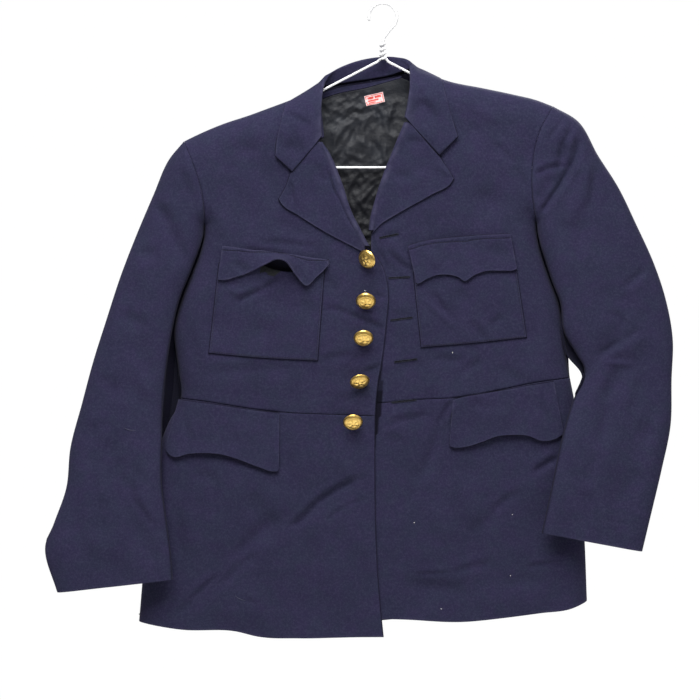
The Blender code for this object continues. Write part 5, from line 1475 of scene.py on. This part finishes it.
HOOK_DEGREES = range(195, -51, -5)
ARM_END_DEGREES = range(62, -91, -8)
ARM_END_INSET = 2.0
ARM_SHARES = (0.04, 0.07, 0.12, 0.3, 0.65, 0.9)     # places along an arm
BAR_SHARES = (0.8, 0.4, 0.0, -0.4, -0.8)
WIRE_SIDES = 14
WIRE_STEP = 1.6
WIRE_ENDS = (1.2, 1.5)      # radii of its rounded ends
TWIST_TURNS = 3.5           # the end of the wire is wound round its neck
TWIST_STEPS = 84
TWIST_RADIUS = 2.9
TWIST_WIDENS = 4            # it reaches that radius in the first quarter
TWIST_START = -APEX_DROP - 1.5
TWIST_TOP = -50.0


def tube(points, radii, sides):
    """Vertices and faces of a closed tube along points, with a radius at each."""
    points = np.asarray(points, float)
    ahead = np.gradient(points, axis=0)
    ahead /= np.linalg.norm(ahead, axis=1, keepdims=True)
    side = np.cross(ahead[0], (0.3, 1.0, 0.2))
    vertices = []
    angles = np.arange(sides) * 2 * math.pi / sides
    for point, along_wire, radius in zip(points, ahead, np.broadcast_to(radii, len(points))):
        side = side - along_wire * side.dot(along_wire)
        side /= np.linalg.norm(side)
        other = np.cross(along_wire, side)
        vertices += [point + radius * (math.cos(a) * side + math.sin(a) * other) for a in angles]
    faces = []
    for r in range(len(points) - 1):
        for k in range(sides):
            after = (k + 1) % sides
            faces.append((r * sides + k, r * sides + after, (r + 1) * sides + after, (r + 1) * sides + k))
    faces.append(tuple(range(sides - 1, -1, -1)))
    faces.append(tuple(range(len(vertices) - sides, len(vertices))))
    return vertices, faces


def even_points(points, step):
    """Points a step apart along a smooth curve."""
    curve = smooth(points, steps=8)
    lengths = lengths_along(curve)
    return points_at(curve, lengths, np.linspace(0, lengths[-1], round(lengths[-1] / step)))


def hanger():
    """One wire: the hook, its neck, an arm, the bar, the other arm and the twist round the neck."""
    centre_z = WIRE / 2 - HOOK_RADIUS
    route = []
    for degrees in HOOK_DEGREES:
        angle = math.radians(degrees)
        route.append((HOOK_RADIUS * math.cos(angle), 0, centre_z + HOOK_RADIUS * math.sin(angle)))
    route += [(x, 0, z) for x, z in HOOK_NECK]
    slope = math.tan(math.radians(ARM_SLOPE))
    bar_z = -APEX_DROP - BAR_DROP
    bend = (BAR_DROP - ARM_REACH * slope) / 2
    arm = [(ARM_REACH * share, 0, -APEX_DROP - ARM_REACH * share * slope) for share in ARM_SHARES]
    for degrees in ARM_END_DEGREES:
        angle = math.radians(degrees)
        x = ARM_REACH - ARM_END_INSET + bend * math.cos(angle)
        arm.append((x, 0, bar_z + bend * (1 + math.sin(angle))))
    bar = [(ARM_REACH * share, 0, bar_z) for share in BAR_SHARES]
    route += arm + bar + [(-x, y, z) for x, y, z in reversed(arm)]
    twist = []
    for k in range(1, TWIST_STEPS + 1):
        share = k / TWIST_STEPS
        angle = math.pi + 2 * math.pi * TWIST_TURNS * share
        radius = ARM_TURN + (TWIST_RADIUS - ARM_TURN) * min(1, TWIST_WIDENS * share)
        twist.append((radius * math.cos(angle), radius * math.sin(angle),
                      TWIST_START + (TWIST_TOP - TWIST_START) * share))
    points = even_points(route + twist, WIRE_STEP)
    radii = np.full(len(points), WIRE / 2)
    radii[:2] = WIRE_ENDS
    radii[-2:] = WIRE_ENDS[::-1]
    vertices, faces = tube(points, radii, WIRE_SIDES)
    item = solid("hanger_wire", vertices, faces, wire)
    stand_for("hanger")


HOLE_ENDS = (               # x, drop of each end of a buttonhole
    (-3.5, 230.7, 18.5, 226.0), (8.0, 282.0, 33.0, 280.7), (10.5, 335.8, 36.5, 332.6),
    (15.0, 389.2, 42.5, 385.6), (12.0, 440.6, 41.5, 437.4),
)
HOLE_HALF_WIDTH = 0.95
HOLE_LIFT = 0.35
HOLE_STEP = 0.3             # between the points of its edge
HOLE_THREAD = 0.5           # radius of the thread, which is ribbed
RIB_PITCH = 0.95
SLIT_HALF_WIDTH = 0.6
SLIT_LIFT = 0.3
SLIT_POINTS = 24


def buttonhole(number, x0, drop0, x1, drop1):
    """A worked buttonhole: a slit with a ribbed thread edge that lies on the left front. The slit is a
    near-black strip of painted shade.
    """
    start = np.array((x0, drop0))
    span = np.array((x1, drop1)) - start
    length = np.linalg.norm(span)
    ahead = span / length
    across = np.array((-ahead[1], ahead[0]))
    ring = [(t, -HOLE_HALF_WIDTH) for t in np.arange(0, length, HOLE_STEP)]
    ring += [(length + HOLE_HALF_WIDTH * math.cos(angle), HOLE_HALF_WIDTH * math.sin(angle))
             for angle in np.linspace(-1.5, 1.5, 13)]
    ring += [(t, HOLE_HALF_WIDTH) for t in np.arange(length, 0, -HOLE_STEP)]
    ring += [(-HOLE_HALF_WIDTH * math.cos(angle), HOLE_HALF_WIDTH * math.sin(angle))
             for angle in np.linspace(1.5, -1.4, 13)]
    flat = np.array([start + ahead * t + across * s for t, s in ring])
    points = to_space(flat, front_y(flat, HOLE_LIFT))
    ribs = np.abs(np.sin(lengths_along(points) * math.pi / RIB_PITCH))
    vertices, faces = tube(points, HOLE_THREAD * (0.72 + 0.4 * ribs), 7)
    first = len(vertices)
    shares = np.linspace(0, 1, SLIT_POINTS)
    for side in (-SLIT_HALF_WIDTH, SLIT_HALF_WIDTH):
        line = start + ahead * (length * shares)[:, None] + across * side
        vertices += to_space(line, front_y(line, SLIT_LIFT)).tolist()
    slit = [(first + k, first + k + 1, first + SLIT_POINTS + 1 + k, first + SLIT_POINTS + k)
            for k in range(SLIT_POINTS - 1)]
    item = solid(f"buttonhole_{number}", vertices, faces + slit, thread)
    # the slit's faces take the near-black colour of painted shade
    item.data.materials.append(slit_painted_shade)
    for k in range(len(faces), len(faces) + len(slit)):
        item.data.polygons[k].material_index = 1
    return item


STITCH_LENGTH = 2.3
STITCH_PITCH = 3.1
STITCH_RADIUS = 0.36
STITCH_SHAPE = np.array((0.45, 0.9, 1.0, 0.9, 0.45))        # its radius at five places along it
STITCH_RISE = np.array((-0.2, 0.1, 0.17, 0.1, -0.2))        # how far they stand off the cloth
STITCH_START = 1.0
POCKET_STITCH_INSET = 0.02  # a pocket's stitches run this share of its size inside its edges
POCKET_STITCH_SINK = 0.25


def add_tube(vertices, faces, points, radii, sides):
    """Add a tube to lists of vertices and faces."""
    more, more_faces = tube(points, radii, sides)
    faces += [tuple(len(vertices) + k for k in face) for face in more_faces]
    vertices += more


def stitches(name, lines):
    """Rows of stitches along lines of points in space, on the outer face of a piece."""
    vertices = []
    faces = []
    for line in lines:
        lengths = lengths_along(line)
        for start in np.arange(STITCH_START, lengths[-1] - STITCH_LENGTH, STITCH_PITCH):
            points = points_at(line, lengths, start + STITCH_LENGTH * np.linspace(0, 1, 5))
            points[:, 1] -= STITCH_RISE
            add_tube(vertices, faces, points, STITCH_RADIUS * STITCH_SHAPE, 6)
    item = solid(name, vertices, faces, dark_thread)
    return item


def flap_stitches(name, table, lift, over):
    """The row of stitches below a flap's top edge."""
    sections = smooth(table, steps=8)
    share = FLAP_STITCH_DROP / FLAP_LENGTH
    flat = between(sections[:, 0:2], sections[:, 2:4], share)
    y = front_y(flat, lift, over) - sections[:, 4] * share**STAND_OUT
    return stitches(name, [to_space(flat, y)])


def pocket_stitches(name, table, over):
    """The stitches down both sides of a pocket and along its foot."""
    low = POCKET_STITCH_INSET
    high = 1 - POCKET_STITCH_INSET
    routes = [([column], np.linspace(low, high, 40)) for column in (low, high)]
    routes.append((np.linspace(low, high, 60), np.array([high])))
    lines = []
    for columns, rows in routes:
        flat = between(along(table["top"], columns), along(table["bottom"], columns), rows[:, None])
        lines.append(to_space(flat, front_y(flat, POCKET_LIFT - POCKET_STITCH_SINK, over)))
    return stitches(name, lines)


LINT = (                    # x, drop, length, degrees that it is turned
    (-23.0, 298.2, 2.6, 20), (88.8, 377.2, 2.2, 100), (39.7, 593.9, 1.4, 10), (165.1, 583.7, 1.3, 60),
    (162.6, 661.8, 1.5, 120), (74.2, 704.0, 1.6, 30), (-183.0, 490.2, 2.4, 45),
    (-181.8, 690.0, 15.0, 25), (-322.0, 474.0, 16.0, 12),
)
LONG_LINT = 5.0             # threads longer than this are fainter than the fluff
LINT_RADII = (0.12, 0.3, 0.34, 0.36, 0.34, 0.28, 0.12)      # at seven places along it
LINT_BOW = 0.1              # as a share of its length
LINT_LIFT = 0.3
ON_SLEEVE_X = -300          # what lies beyond this x is on the right sleeve
ON_OVERLAP_X = -10          # and beyond this one on the right front


def lint():
    """Specks of fluff and a few threads that lie on the cloth."""
    vertices = []
    faces = []
    faint = set()
    for x, drop, length, degrees in LINT:
        turn = math.radians(degrees)
        offset = np.linspace(-0.5, 0.5, len(LINT_RADII))[:, None] * length
        bow = LINT_BOW * length * np.cos(np.linspace(-1.5, 1.5, len(LINT_RADII)))[:, None]
        flat = np.array((x, drop)) + offset * (math.cos(turn), math.sin(turn))
        flat = flat + bow * (-math.sin(turn), math.cos(turn))
        y = lint_on_sleeve(flat) if x < ON_SLEEVE_X else front_y(flat, LINT_LIFT, over=x < ON_OVERLAP_X)
        first = len(faces)
        add_tube(vertices, faces, to_space(flat, y), LINT_RADII, 6)
        if length > LONG_LINT:
            faint.update(range(first, len(faces)))
    item = solid("lint", vertices, faces, fluff)
    item.data.materials.append(faint_fluff)
    for k in faint:
        item.data.polygons[k].material_index = 1


def lint_on_sleeve(flat):
    """The face of the right sleeve's top half under a few points, read from its own mesh."""
    mesh = pieces["sleeve_right_top_cloth"].data
    places = np.empty(len(mesh.vertices) * 3)
    mesh.vertices.foreach_get("co", places)
    places = places.reshape(-1, 3) / MILLIMETRE
    depth = []
    for x, drop in flat:
        gap = np.hypot(places[:, 0] - x, places[:, 2] + APEX_DROP + drop)
        near = np.argsort(gap)[:8]
        depth.append(places[near, 1].min() - LINT_LIFT)
    return np.full(len(flat), np.mean(depth))


# ---- materials -----------------------------------------------------------------------------

def new_material(name, roughness, metallic=0.0, **sockets):
    """A new material, its node tree and its shader, with the sockets set by name."""
    surface = bpy.data.materials.new(name)
    surface.use_nodes = True
    shader = surface.node_tree.nodes["Principled BSDF"]
    shader.inputs["Roughness"].default_value = roughness
    shader.inputs["Metallic"].default_value = metallic
    for socket, value in sockets.items():
        shader.inputs[socket.replace("_", " ")].default_value = value
    return surface, surface.node_tree, shader


def node(tree, kind, links=(), **values):
    """A new node, with links as input, output pairs and values set by property or input name."""
    item = tree.nodes.new(kind)
    for key, value in values.items():
        if hasattr(item, key):
            setattr(item, key, value)
        else:
            item.inputs[key.replace("_", " ")].default_value = value
    for socket, source in links:
        tree.links.new(item.inputs[socket], source)
    return item


def mixed(tree, factor, first, second):
    """A colour between two, each given as a colour or as an output."""
    item = node(tree, "ShaderNodeMix", data_type="RGBA")
    tree.links.new(item.inputs["Factor"], factor)
    for socket, colour in ((6, first), (7, second)):
        if isinstance(colour, tuple):
            item.inputs[socket].default_value = (*colour, 1.0)
        else:
            tree.links.new(item.inputs[socket], colour)
    return item.outputs[2]


def stretched(tree, source, low, high, to_low=0.0, to_high=1.0):
    """The range from low to high stretched to another."""
    item = node(tree, "ShaderNodeMapRange", links=(("Value", source),))
    item.inputs["From Min"].default_value = low
    item.inputs["From Max"].default_value = high
    item.inputs["To Min"].default_value = to_low
    item.inputs["To Max"].default_value = to_high
    return item.outputs[0]


def noise(tree, vector, scale, detail=3.0, rough=0.55):
    """Soft noise, which repeats about scale times in a metre."""
    item = node(tree, "ShaderNodeTexNoise", links=(("Vector", vector),), Scale=scale, Detail=detail)
    item.inputs["Roughness"].default_value = rough
    return item.outputs[0]


def placed(tree, source, scale=(1, 1, 1), turn=0.0):
    """The place, scaled and turned about Z."""
    item = node(tree, "ShaderNodeMapping", links=(("Vector", source),))
    item.inputs["Scale"].default_value = scale
    item.inputs["Rotation"].default_value = (0, 0, turn)
    return item.outputs[0]


def bands(tree, vector, scale, distortion=0.0):
    """Even waves across X, as the yarns of a weave."""
    item = node(tree, "ShaderNodeTexWave", links=(("Vector", vector),), Scale=scale, Distortion=distortion)
    return item.outputs[1]


def bumps(tree, shader, *layers):
    """Stacked bumps: each is an output, a height in millimetres and a strength."""
    last = None
    for height, distance, strength in layers:
        item = node(tree, "ShaderNodeBump", links=(("Height", height),))
        item.inputs["Distance"].default_value = distance * MILLIMETRE
        item.inputs["Strength"].default_value = strength
        if last is not None:
            tree.links.new(item.inputs["Normal"], last)
        last = item.outputs[0]
    tree.links.new(shader.inputs["Normal"], last)


def attribute(tree, name):
    """The node that reads an attribute of the mesh."""
    return node(tree, "ShaderNodeAttribute", attribute_name=name)


SERGE_PURPLE = (0.0232, 0.0182, 0.0520)
SERGE_SLATE = (0.0188, 0.0222, 0.0455)
SERGE_DARK = (0.0128, 0.0122, 0.0330)
SERGE_DUST = (0.0360, 0.0350, 0.0690)
# worn light, and in part painted highlight along the collar's crest and the lapels' roll
SERGE_WEAR_AND_HIGHLIGHT = (0.0620, 0.0590, 0.1040)
# the colour of painted shade at rims, on inner faces and in shaded strips
SERGE_PAINTED_SHADE = (0.0013, 0.0012, 0.0048)
SATIN_DARK = (0.0050, 0.0058, 0.0096)
SATIN_LIGHT = (0.0092, 0.0112, 0.0170)
SATIN_SHADE = (0.0034, 0.0038, 0.0070)
SATIN_SHADE_DROP = (0.128, 0.15)        # metres down from the apex over which the shade deepens
BRASS = (0.92, 0.66, 0.22)
BRASS_DULL = (0.80, 0.49, 0.11)
TARNISH = (0.17, 0.095, 0.022)
WIRE_WHITE = (0.80, 0.80, 0.81)
WIRE_GREY = (0.70, 0.70, 0.72)


def serge_material():
    """Navy wool serge: mottled and dusty, worn light at its turned edges and in part painted
    highlight along the collar's crest and the lapels' roll, with painted shade at outlined rims,
    on inner faces, beside the sleeves and along the fronts' edges.
    """
    surface, tree, shader = new_material("navy_serge", 0.92, Sheen_Weight=0.05, Sheen_Roughness=0.5,
                                         Specular_IOR_Level=0.12)
    shader.inputs["Sheen Tint"].default_value = (0.62, 0.62, 0.85, 1.0)
    place = attribute(tree, "cloth").outputs["Vector"]
    wear_and_painted_light = attribute(tree, "wear_and_painted_light").outputs["Fac"]
    patches = noise(tree, place, 46.0, 3.0, 0.6)
    clouds = noise(tree, placed(tree, place, (1, 1, 1), 0.8), 19.0, 3.0)
    mottle = noise(tree, place, 210.0, 4.0, 0.65)
    speckle = noise(tree, place, 430.0, 3.0, 0.7)
    streaks = noise(tree, placed(tree, place, (0.22, 1, 1), 0.12), 330.0, 3.0)
    grain = noise(tree, place, 900.0, 2.0, 0.6)
    warp = noise(tree, place, 60.0, 2.0)
    colour = mixed(tree, stretched(tree, patches, 0.38, 0.62), SERGE_PURPLE, SERGE_SLATE)
    for source, low, high, most, tint in (
        (clouds, 0.35, 0.68, 0.5, SERGE_DARK),
        (mottle, 0.35, 0.7, 0.6, SERGE_DARK),
        (speckle, 0.4, 0.65, 0.55, SERGE_DARK),
        (speckle, 0.52, 0.35, 0.4, SERGE_DUST),
        (streaks, 0.55, 0.8, 0.3, SERGE_DUST),
        (grain, 0.4, 0.75, 0.22, SERGE_DUST),
    ):
        colour = mixed(tree, stretched(tree, source, low, high, 0.0, most), colour, tint)
    # worn light at the turned edges; along the collar's crest and the lapels' roll it is in part painted
    # highlight
    rub_and_painted_light = stretched(tree, wear_and_painted_light, 0.0, 1.0)
    uneven = stretched(tree, warp, 0.4, 0.62, 0.15, 0.85)
    worn = node(tree, "ShaderNodeMath", operation="MULTIPLY", links=((0, rub_and_painted_light), (1, uneven))).outputs[0]
    colour = mixed(tree, worn, colour, SERGE_WEAR_AND_HIGHLIGHT)
    # painted shade where the value is negative
    colour = mixed(tree, stretched(tree, wear_and_painted_light, 0.0, -1.0, 0.0, 0.95), colour, SERGE_PAINTED_SHADE)
    tree.links.new(shader.inputs["Base Color"], colour)
    twill = bands(tree, placed(tree, place, turn=1.1), 392.0, 0.6)
    ribs = bands(tree, placed(tree, place, turn=-0.5), 520.0, 0.8)
    bumps(tree, shader, (mottle, 0.42, 0.5), (grain, 0.2, 0.45), (twill, 0.04, 0.3), (ribs, 0.02, 0.2))
    return surface


def satin_material():
    """The black lining, crumpled, with painted shade that darkens it further down, where it lies deep
    behind the fronts.
    """
    surface, tree, shader = new_material("black_satin", 0.55, Specular_IOR_Level=0.3, Sheen_Weight=0.03)
    place = attribute(tree, "cloth").outputs["Vector"]
    cloudy = noise(tree, place, 34.0, 3.0)
    fine = noise(tree, place, 420.0, 3.0)
    down = node(tree, "ShaderNodeSeparateXYZ", links=(("Vector", place),)).outputs[1]
    colour = mixed(tree, stretched(tree, cloudy, 0.35, 0.7), SATIN_DARK, SATIN_LIGHT)
    # painted shade, deepening down the lining
    colour = mixed(tree, stretched(tree, down, *SATIN_SHADE_DROP), colour, SATIN_SHADE)
    tree.links.new(shader.inputs["Base Color"], colour)
    tree.links.new(shader.inputs["Roughness"], stretched(tree, fine, 0.3, 0.7, 0.5, 0.66))
    weave = bands(tree, place, 700.0, 0.3)
    cross = bands(tree, placed(tree, place, turn=1.57), 640.0, 0.3)
    crumple = noise(tree, place, 150.0, 4.0, 0.65)
    bumps(tree, shader, (crumple, 1.4, 0.6), (fine, 0.1, 0.35), (weave, 0.03, 0.3), (cross, 0.03, 0.3))
    return surface


def brass_material():
    """Gilt brass with tarnish in its recesses."""
    surface, tree, shader = new_material("gilt_brass", 0.3, 1.0)
    spot = node(tree, "ShaderNodeTexCoord").outputs["Object"]
    recess = attribute(tree, "recess").outputs["Fac"]
    tarnish = noise(tree, spot, 420.0, 4.0)
    fine = noise(tree, spot, 2600.0, 3.0)
    colour = mixed(tree, stretched(tree, tarnish, 0.35, 0.7), BRASS, BRASS_DULL)
    colour = mixed(tree, stretched(tree, recess, 0.35, 1.0, 0.0, 0.45), colour, TARNISH)
    tree.links.new(shader.inputs["Base Color"], colour)
    tree.links.new(shader.inputs["Roughness"], stretched(tree, tarnish, 0.3, 0.7, 0.26, 0.38))
    bumps(tree, shader, (fine, 0.05, 0.35))
    return surface


def wire_material():
    """White plastic over the wire."""
    surface, tree, shader = new_material("white_wire", 0.34, Specular_IOR_Level=0.5)
    spot = node(tree, "ShaderNodeTexCoord").outputs["Object"]
    wavy = noise(tree, spot, 160.0, 3.0)
    colour = mixed(tree, stretched(tree, wavy, 0.4, 0.7), WIRE_WHITE, WIRE_GREY)
    tree.links.new(shader.inputs["Base Color"], colour)
    bumps(tree, shader, (wavy, 0.12, 0.3))
    return surface


def woven_material(name, dark, light, roughness):
    """Thread or woven cloth between two colours."""
    surface, tree, shader = new_material(name, roughness, Specular_IOR_Level=0.25)
    spot = node(tree, "ShaderNodeTexCoord").outputs["Object"]
    uneven = noise(tree, spot, 380.0, 3.0)
    colour = mixed(tree, stretched(tree, uneven, 0.35, 0.7), dark, light)
    tree.links.new(shader.inputs["Base Color"], colour)
    weave = bands(tree, spot, 500.0, 0.4)
    bumps(tree, shader, (uneven, 0.1, 0.3), (weave, 0.05, 0.4))
    return surface


looks = {"serge": serge_material(), "satin": satin_material()}     # by their slots
brass = brass_material()
wire = wire_material()
looks["tape"] = woven_material("label_tape", (0.62, 0.46, 0.46), (0.72, 0.56, 0.55), 0.85)
red_ink = woven_material("red_print", (0.50, 0.055, 0.045), (0.62, 0.10, 0.08), 0.8)
thread = woven_material("buttonhole_thread", (0.0045, 0.0050, 0.0110), (0.018, 0.020, 0.036), 0.85)
dark_thread = woven_material("stitching_thread", (0.006, 0.006, 0.010), (0.011, 0.011, 0.017), 0.85)
# near-black, painted shade in the buttonhole slits
slit_painted_shade = woven_material("slit_painted_shade", (0.004, 0.004, 0.006), (0.007, 0.007, 0.010), 0.95)
# a near-black cloth that paints shade
painted_shade_cloth = woven_material("painted_shade", (0.0032, 0.0032, 0.0105), (0.0052, 0.0052, 0.0155), 0.9)
pocket_stay = woven_material("pocket_stay", (0.007, 0.0078, 0.0095), (0.014, 0.0155, 0.0165), 0.85)
faint_fluff = woven_material("faint_lint", (0.050, 0.050, 0.082), (0.066, 0.066, 0.104), 0.95)
fluff = woven_material("lint", (0.55, 0.55, 0.52), (0.75, 0.74, 0.70), 0.95)

# ---- the tunic -----------------------------------------------------------------------------

BAND_CUT = 0.0105           # metres; the neck facing is cut this wide and turned under at its edge
BAND_TURNING = 1.15         # its cut area over the area that shows
# boxes of x from, to and drop from, to that hold another material
POCKET_MOUTH = (-158.0, -112.0, 256.0, 300.0)       # painted shade behind the gaping right breast pocket
POCKET_STAY = (-157.0, -131.0, 258.0, 277.5)        # a pale stay along that pocket's edge
LINING_SIDE = (-320.0, -200.0, 300.0, 600.0)        # painted shade beside the right sleeve
BOX_WAVE = (2.5, 0.3)       # their edges wave this much, with this many radians to a millimetre


def paint(name, surface, box):
    """Give a second material to the faces of a piece in a box."""
    mesh = pieces[name + "_cloth"].data
    mesh.materials.append(surface)
    for face in mesh.polygons:
        x = face.center.x / MILLIMETRE
        drop = -face.center.z / MILLIMETRE - APEX_DROP - BOX_WAVE[0] * math.sin(BOX_WAVE[1] * x)
        if box[0] < x < box[1] and box[2] < drop < box[3]:
            face.material_index = 1


front_lines = (UNDERARM_SHARE, STEP, FOLD_LINES[:6], FOLD_LINES[4:8])
right_rows, right_split = panel_rows(ARMHOLE_RIGHT, FRONT_SIDE_RIGHT, *front_lines)
left_rows, left_split = panel_rows(ARMHOLE_LEFT, FRONT_SIDE_LEFT, *front_lines)
edge_right = inner_edge(SHOULDER_RIGHT, CREST_RIGHT, ROLL_RIGHT, EDGE_RIGHT, -1, right_rows)
edge_left = inner_edge(SHOULDER_LEFT, CREST_LEFT, ROLL_LEFT, EDGE_LEFT, 1, left_rows)
upper_front("front_right_upper", SHOULDER_RIGHT, ARMHOLE_RIGHT, FRONT_SIDE_RIGHT, WAIST_RIGHT,
            edge_right, right_rows, right_split, True)
upper_front("front_left_upper", SHOULDER_LEFT, ARMHOLE_LEFT, FRONT_SIDE_LEFT, WAIST_LEFT,
            edge_left, left_rows, left_split, False)
skirt_front("skirt_front_right", WAIST_RIGHT, HEM_RIGHT, SKIRT_EDGE_RIGHT, FRONT_SKIRT_SIDE_RIGHT, True)
skirt_front("skirt_front_left", WAIST_LEFT, HEM_LEFT, SKIRT_EDGE_LEFT, SKIRT_SIDE_LEFT, False)
back_half("back_right", NECKLINE_RIGHT, SHOULDER_RIGHT, ARMHOLE_RIGHT, BACK_SIDE_RIGHT,
          (BACK_HEM_MIDDLE,) + HEM_RIGHT[2:], -1)
back_half("back_left", NECKLINE_LEFT, SHOULDER_LEFT, ARMHOLE_LEFT, BACK_SIDE_LEFT,
          (BACK_HEM_MIDDLE,) + HEM_LEFT[2:], 1)
sleeve_half("sleeve_right_top", SLEEVE_RIGHT, ARMHOLE_RIGHT, True)
sleeve_half("sleeve_right_under", SLEEVE_RIGHT, ARMHOLE_RIGHT, False)
sleeve_half("sleeve_left_top", SLEEVE_LEFT, ARMHOLE_LEFT, True)
sleeve_half("sleeve_left_under", SLEEVE_LEFT_UNDER, ARMHOLE_LEFT, False)
collar()
lapel("lapel_right", GORGE_RIGHT, NOTCH_RIGHT, LEAD_RIGHT, ROLL_RIGHT, edge_right, -1, True)
lapel("lapel_left", GORGE_LEFT, NOTCH_LEFT, LEAD_LEFT, ROLL_LEFT, edge_left, 1, False)
breast_pockets = {
    "breast_pocket_right": (POCKET_RIGHT, True),
    "breast_pocket_left": (POCKET_LEFT, False),
}
for name, row in breast_pockets.items():
    pocket(name, *row)
breast_flaps = {
    "breast_flap_right": (BREAST_FLAP_RIGHT, CURLED_FLAP_LIFT, True),
    "breast_flap_left": (BREAST_FLAP_LEFT, FLAP_LIFT, False),
}
for name, (table, lift, over) in breast_flaps.items():
    # outlined flaps get painted shade round their rims; the right breast flap does not
    flap(name, round_corners(table, BREAST_CORNER), lift, over, outlined=not over)
hip_flaps = {"hip_flap_right": (HIP_FLAP_RIGHT, True), "hip_flap_left": (HIP_FLAP_LEFT, False)}
for name, (table, over) in hip_flaps.items():
    flap(name, round_corners(table, HIP_CORNER), HIP_FLAP_LIFT, over, puff=HIP_BAND_PUFF)
for number, row in enumerate(BUTTONS, 1):
    button(f"button_{number}", *row)
neck_facing()
back_lining()
size_label()
hanger()
lint()
# painted shade behind the right breast pocket and on the lining beside the right sleeve
paint("front_right_upper", painted_shade_cloth, POCKET_MOUTH)
paint("back_lining", painted_shade_cloth, LINING_SIDE)
paint("breast_pocket_right", pocket_stay, POCKET_STAY)

sewn_on = {sheet[0]: [] for sheet in sheets}
for number, row in enumerate(HOLE_ENDS, 1):
    sewn_on["front_left_upper"].append(buttonhole(number, *row))
for name, row in breast_flaps.items():
    sewn_on[name].append(flap_stitches("stitches_" + name, *row))
for name, row in breast_pockets.items():
    sewn_on[name].append(pocket_stitches("stitches_" + name, *row))
sewn_on["size_label"].append(pieces["label_print"])
for name, item, flat, area in sheets:
    if flat[1] < BAND_CUT:
        flat = (flat[0], BAND_CUT)
        area *= BAND_TURNING

# ---- camera, light and floor ---------------------------------------------------------------

VIEW_TARGET = (-0.0422, 0.0, -0.4438)   # metres; the middle of the frame
FRAME_WIDTH = 0.896
FRAME_DEPTH = -0.012                    # y of the plane where the frame has that width
LENS = 150.0
SENSOR = 36.0
FLOOR_Z = -1.54
BACKDROP_RADIUS = 14.0
FLOOR_RADIUS = 2.5
ROOM_LIGHT = (0.04, 0.47)               # the light of the room from below and from above
ROOM_LIGHT_HEIGHTS = (-0.6, 0.8)        # of the direction, where it takes those strengths


def looking(item, place, target):
    """Put a camera or a lamp at a place, looking at a target."""
    item.location = place
    item.rotation_euler = (Vector(target) - Vector(place)).to_track_quat("-Z", "Y").to_euler()


def area_light(name, place, size, power):
    """A white square lamp that shines on the middle of the frame."""
    lamp = bpy.data.lights.new(name, "AREA")
    lamp.size = size
    lamp.energy = power
    looking(add_object(name, lamp), place, VIEW_TARGET)


camera_data = bpy.data.cameras.new("camera")
camera_data.lens = LENS
camera_data.sensor_width = SENSOR
camera = add_object("camera", camera_data)
distance = FRAME_WIDTH * LENS / SENSOR
looking(camera, (VIEW_TARGET[0], FRAME_DEPTH - distance, VIEW_TARGET[2]), VIEW_TARGET)
bpy.context.scene.camera = camera

area_light("key", (-0.2, -1.35, 1.35), 1.6, 87.0)
area_light("fill", (1.8, -1.9, 0.0), 1.6, 5.0)
area_light("back_key", (0.9, 2.2, 1.4), 1.0, 110.0)

world = bpy.data.worlds.new("white_studio")
world.use_nodes = True
background = world.node_tree.nodes["Background"]
background.inputs[0].default_value = (1.0, 1.0, 1.0, 1.0)
upward = node(world.node_tree, "ShaderNodeTexCoord").outputs["Generated"]
height = node(world.node_tree, "ShaderNodeSeparateXYZ", links=(("Vector", upward),)).outputs[2]
strength = stretched(world.node_tree, height, *ROOM_LIGHT_HEIGHTS, *ROOM_LIGHT)
world.node_tree.links.new(background.inputs[1], strength)
bpy.context.scene.world = world
bpy.context.scene.view_settings.view_transform = "Standard"

# a white backdrop all round, which only the camera sees
backdrop_mesh = bpy.data.meshes.new("backdrop")
round_mesh = bmesh.new()
bmesh.ops.create_uvsphere(round_mesh, u_segments=48, v_segments=24, radius=BACKDROP_RADIUS)
round_mesh.to_mesh(backdrop_mesh)
round_mesh.free()
backdrop_look, _, backdrop_shader = new_material("white_backdrop", 1.0)
backdrop_shader.inputs["Base Color"].default_value = (0, 0, 0, 1)
backdrop_shader.inputs["Emission Color"].default_value = (1, 1, 1, 1)
backdrop_shader.inputs["Emission Strength"].default_value = 1.0
backdrop_mesh.materials.append(backdrop_look)
backdrop = add_object("backdrop", backdrop_mesh)
backdrop.visible_diffuse = False
backdrop.visible_glossy = False
backdrop.visible_transmission = False
backdrop.visible_shadow = False

floor_corners = [(FLOOR_RADIUS * math.cos(angle), FLOOR_RADIUS * math.sin(angle), FLOOR_Z)
                 for angle in np.arange(64) * 2 * math.pi / 64]
floor_mesh = bpy.data.meshes.new("floor")
floor_mesh.from_pydata(floor_corners, [], [tuple(range(len(floor_corners)))])
floor_mesh.materials.append(new_material("pale_floor", 0.9)[0])
floor = add_object("floor", floor_mesh)

bpy.context.view_layer.update()
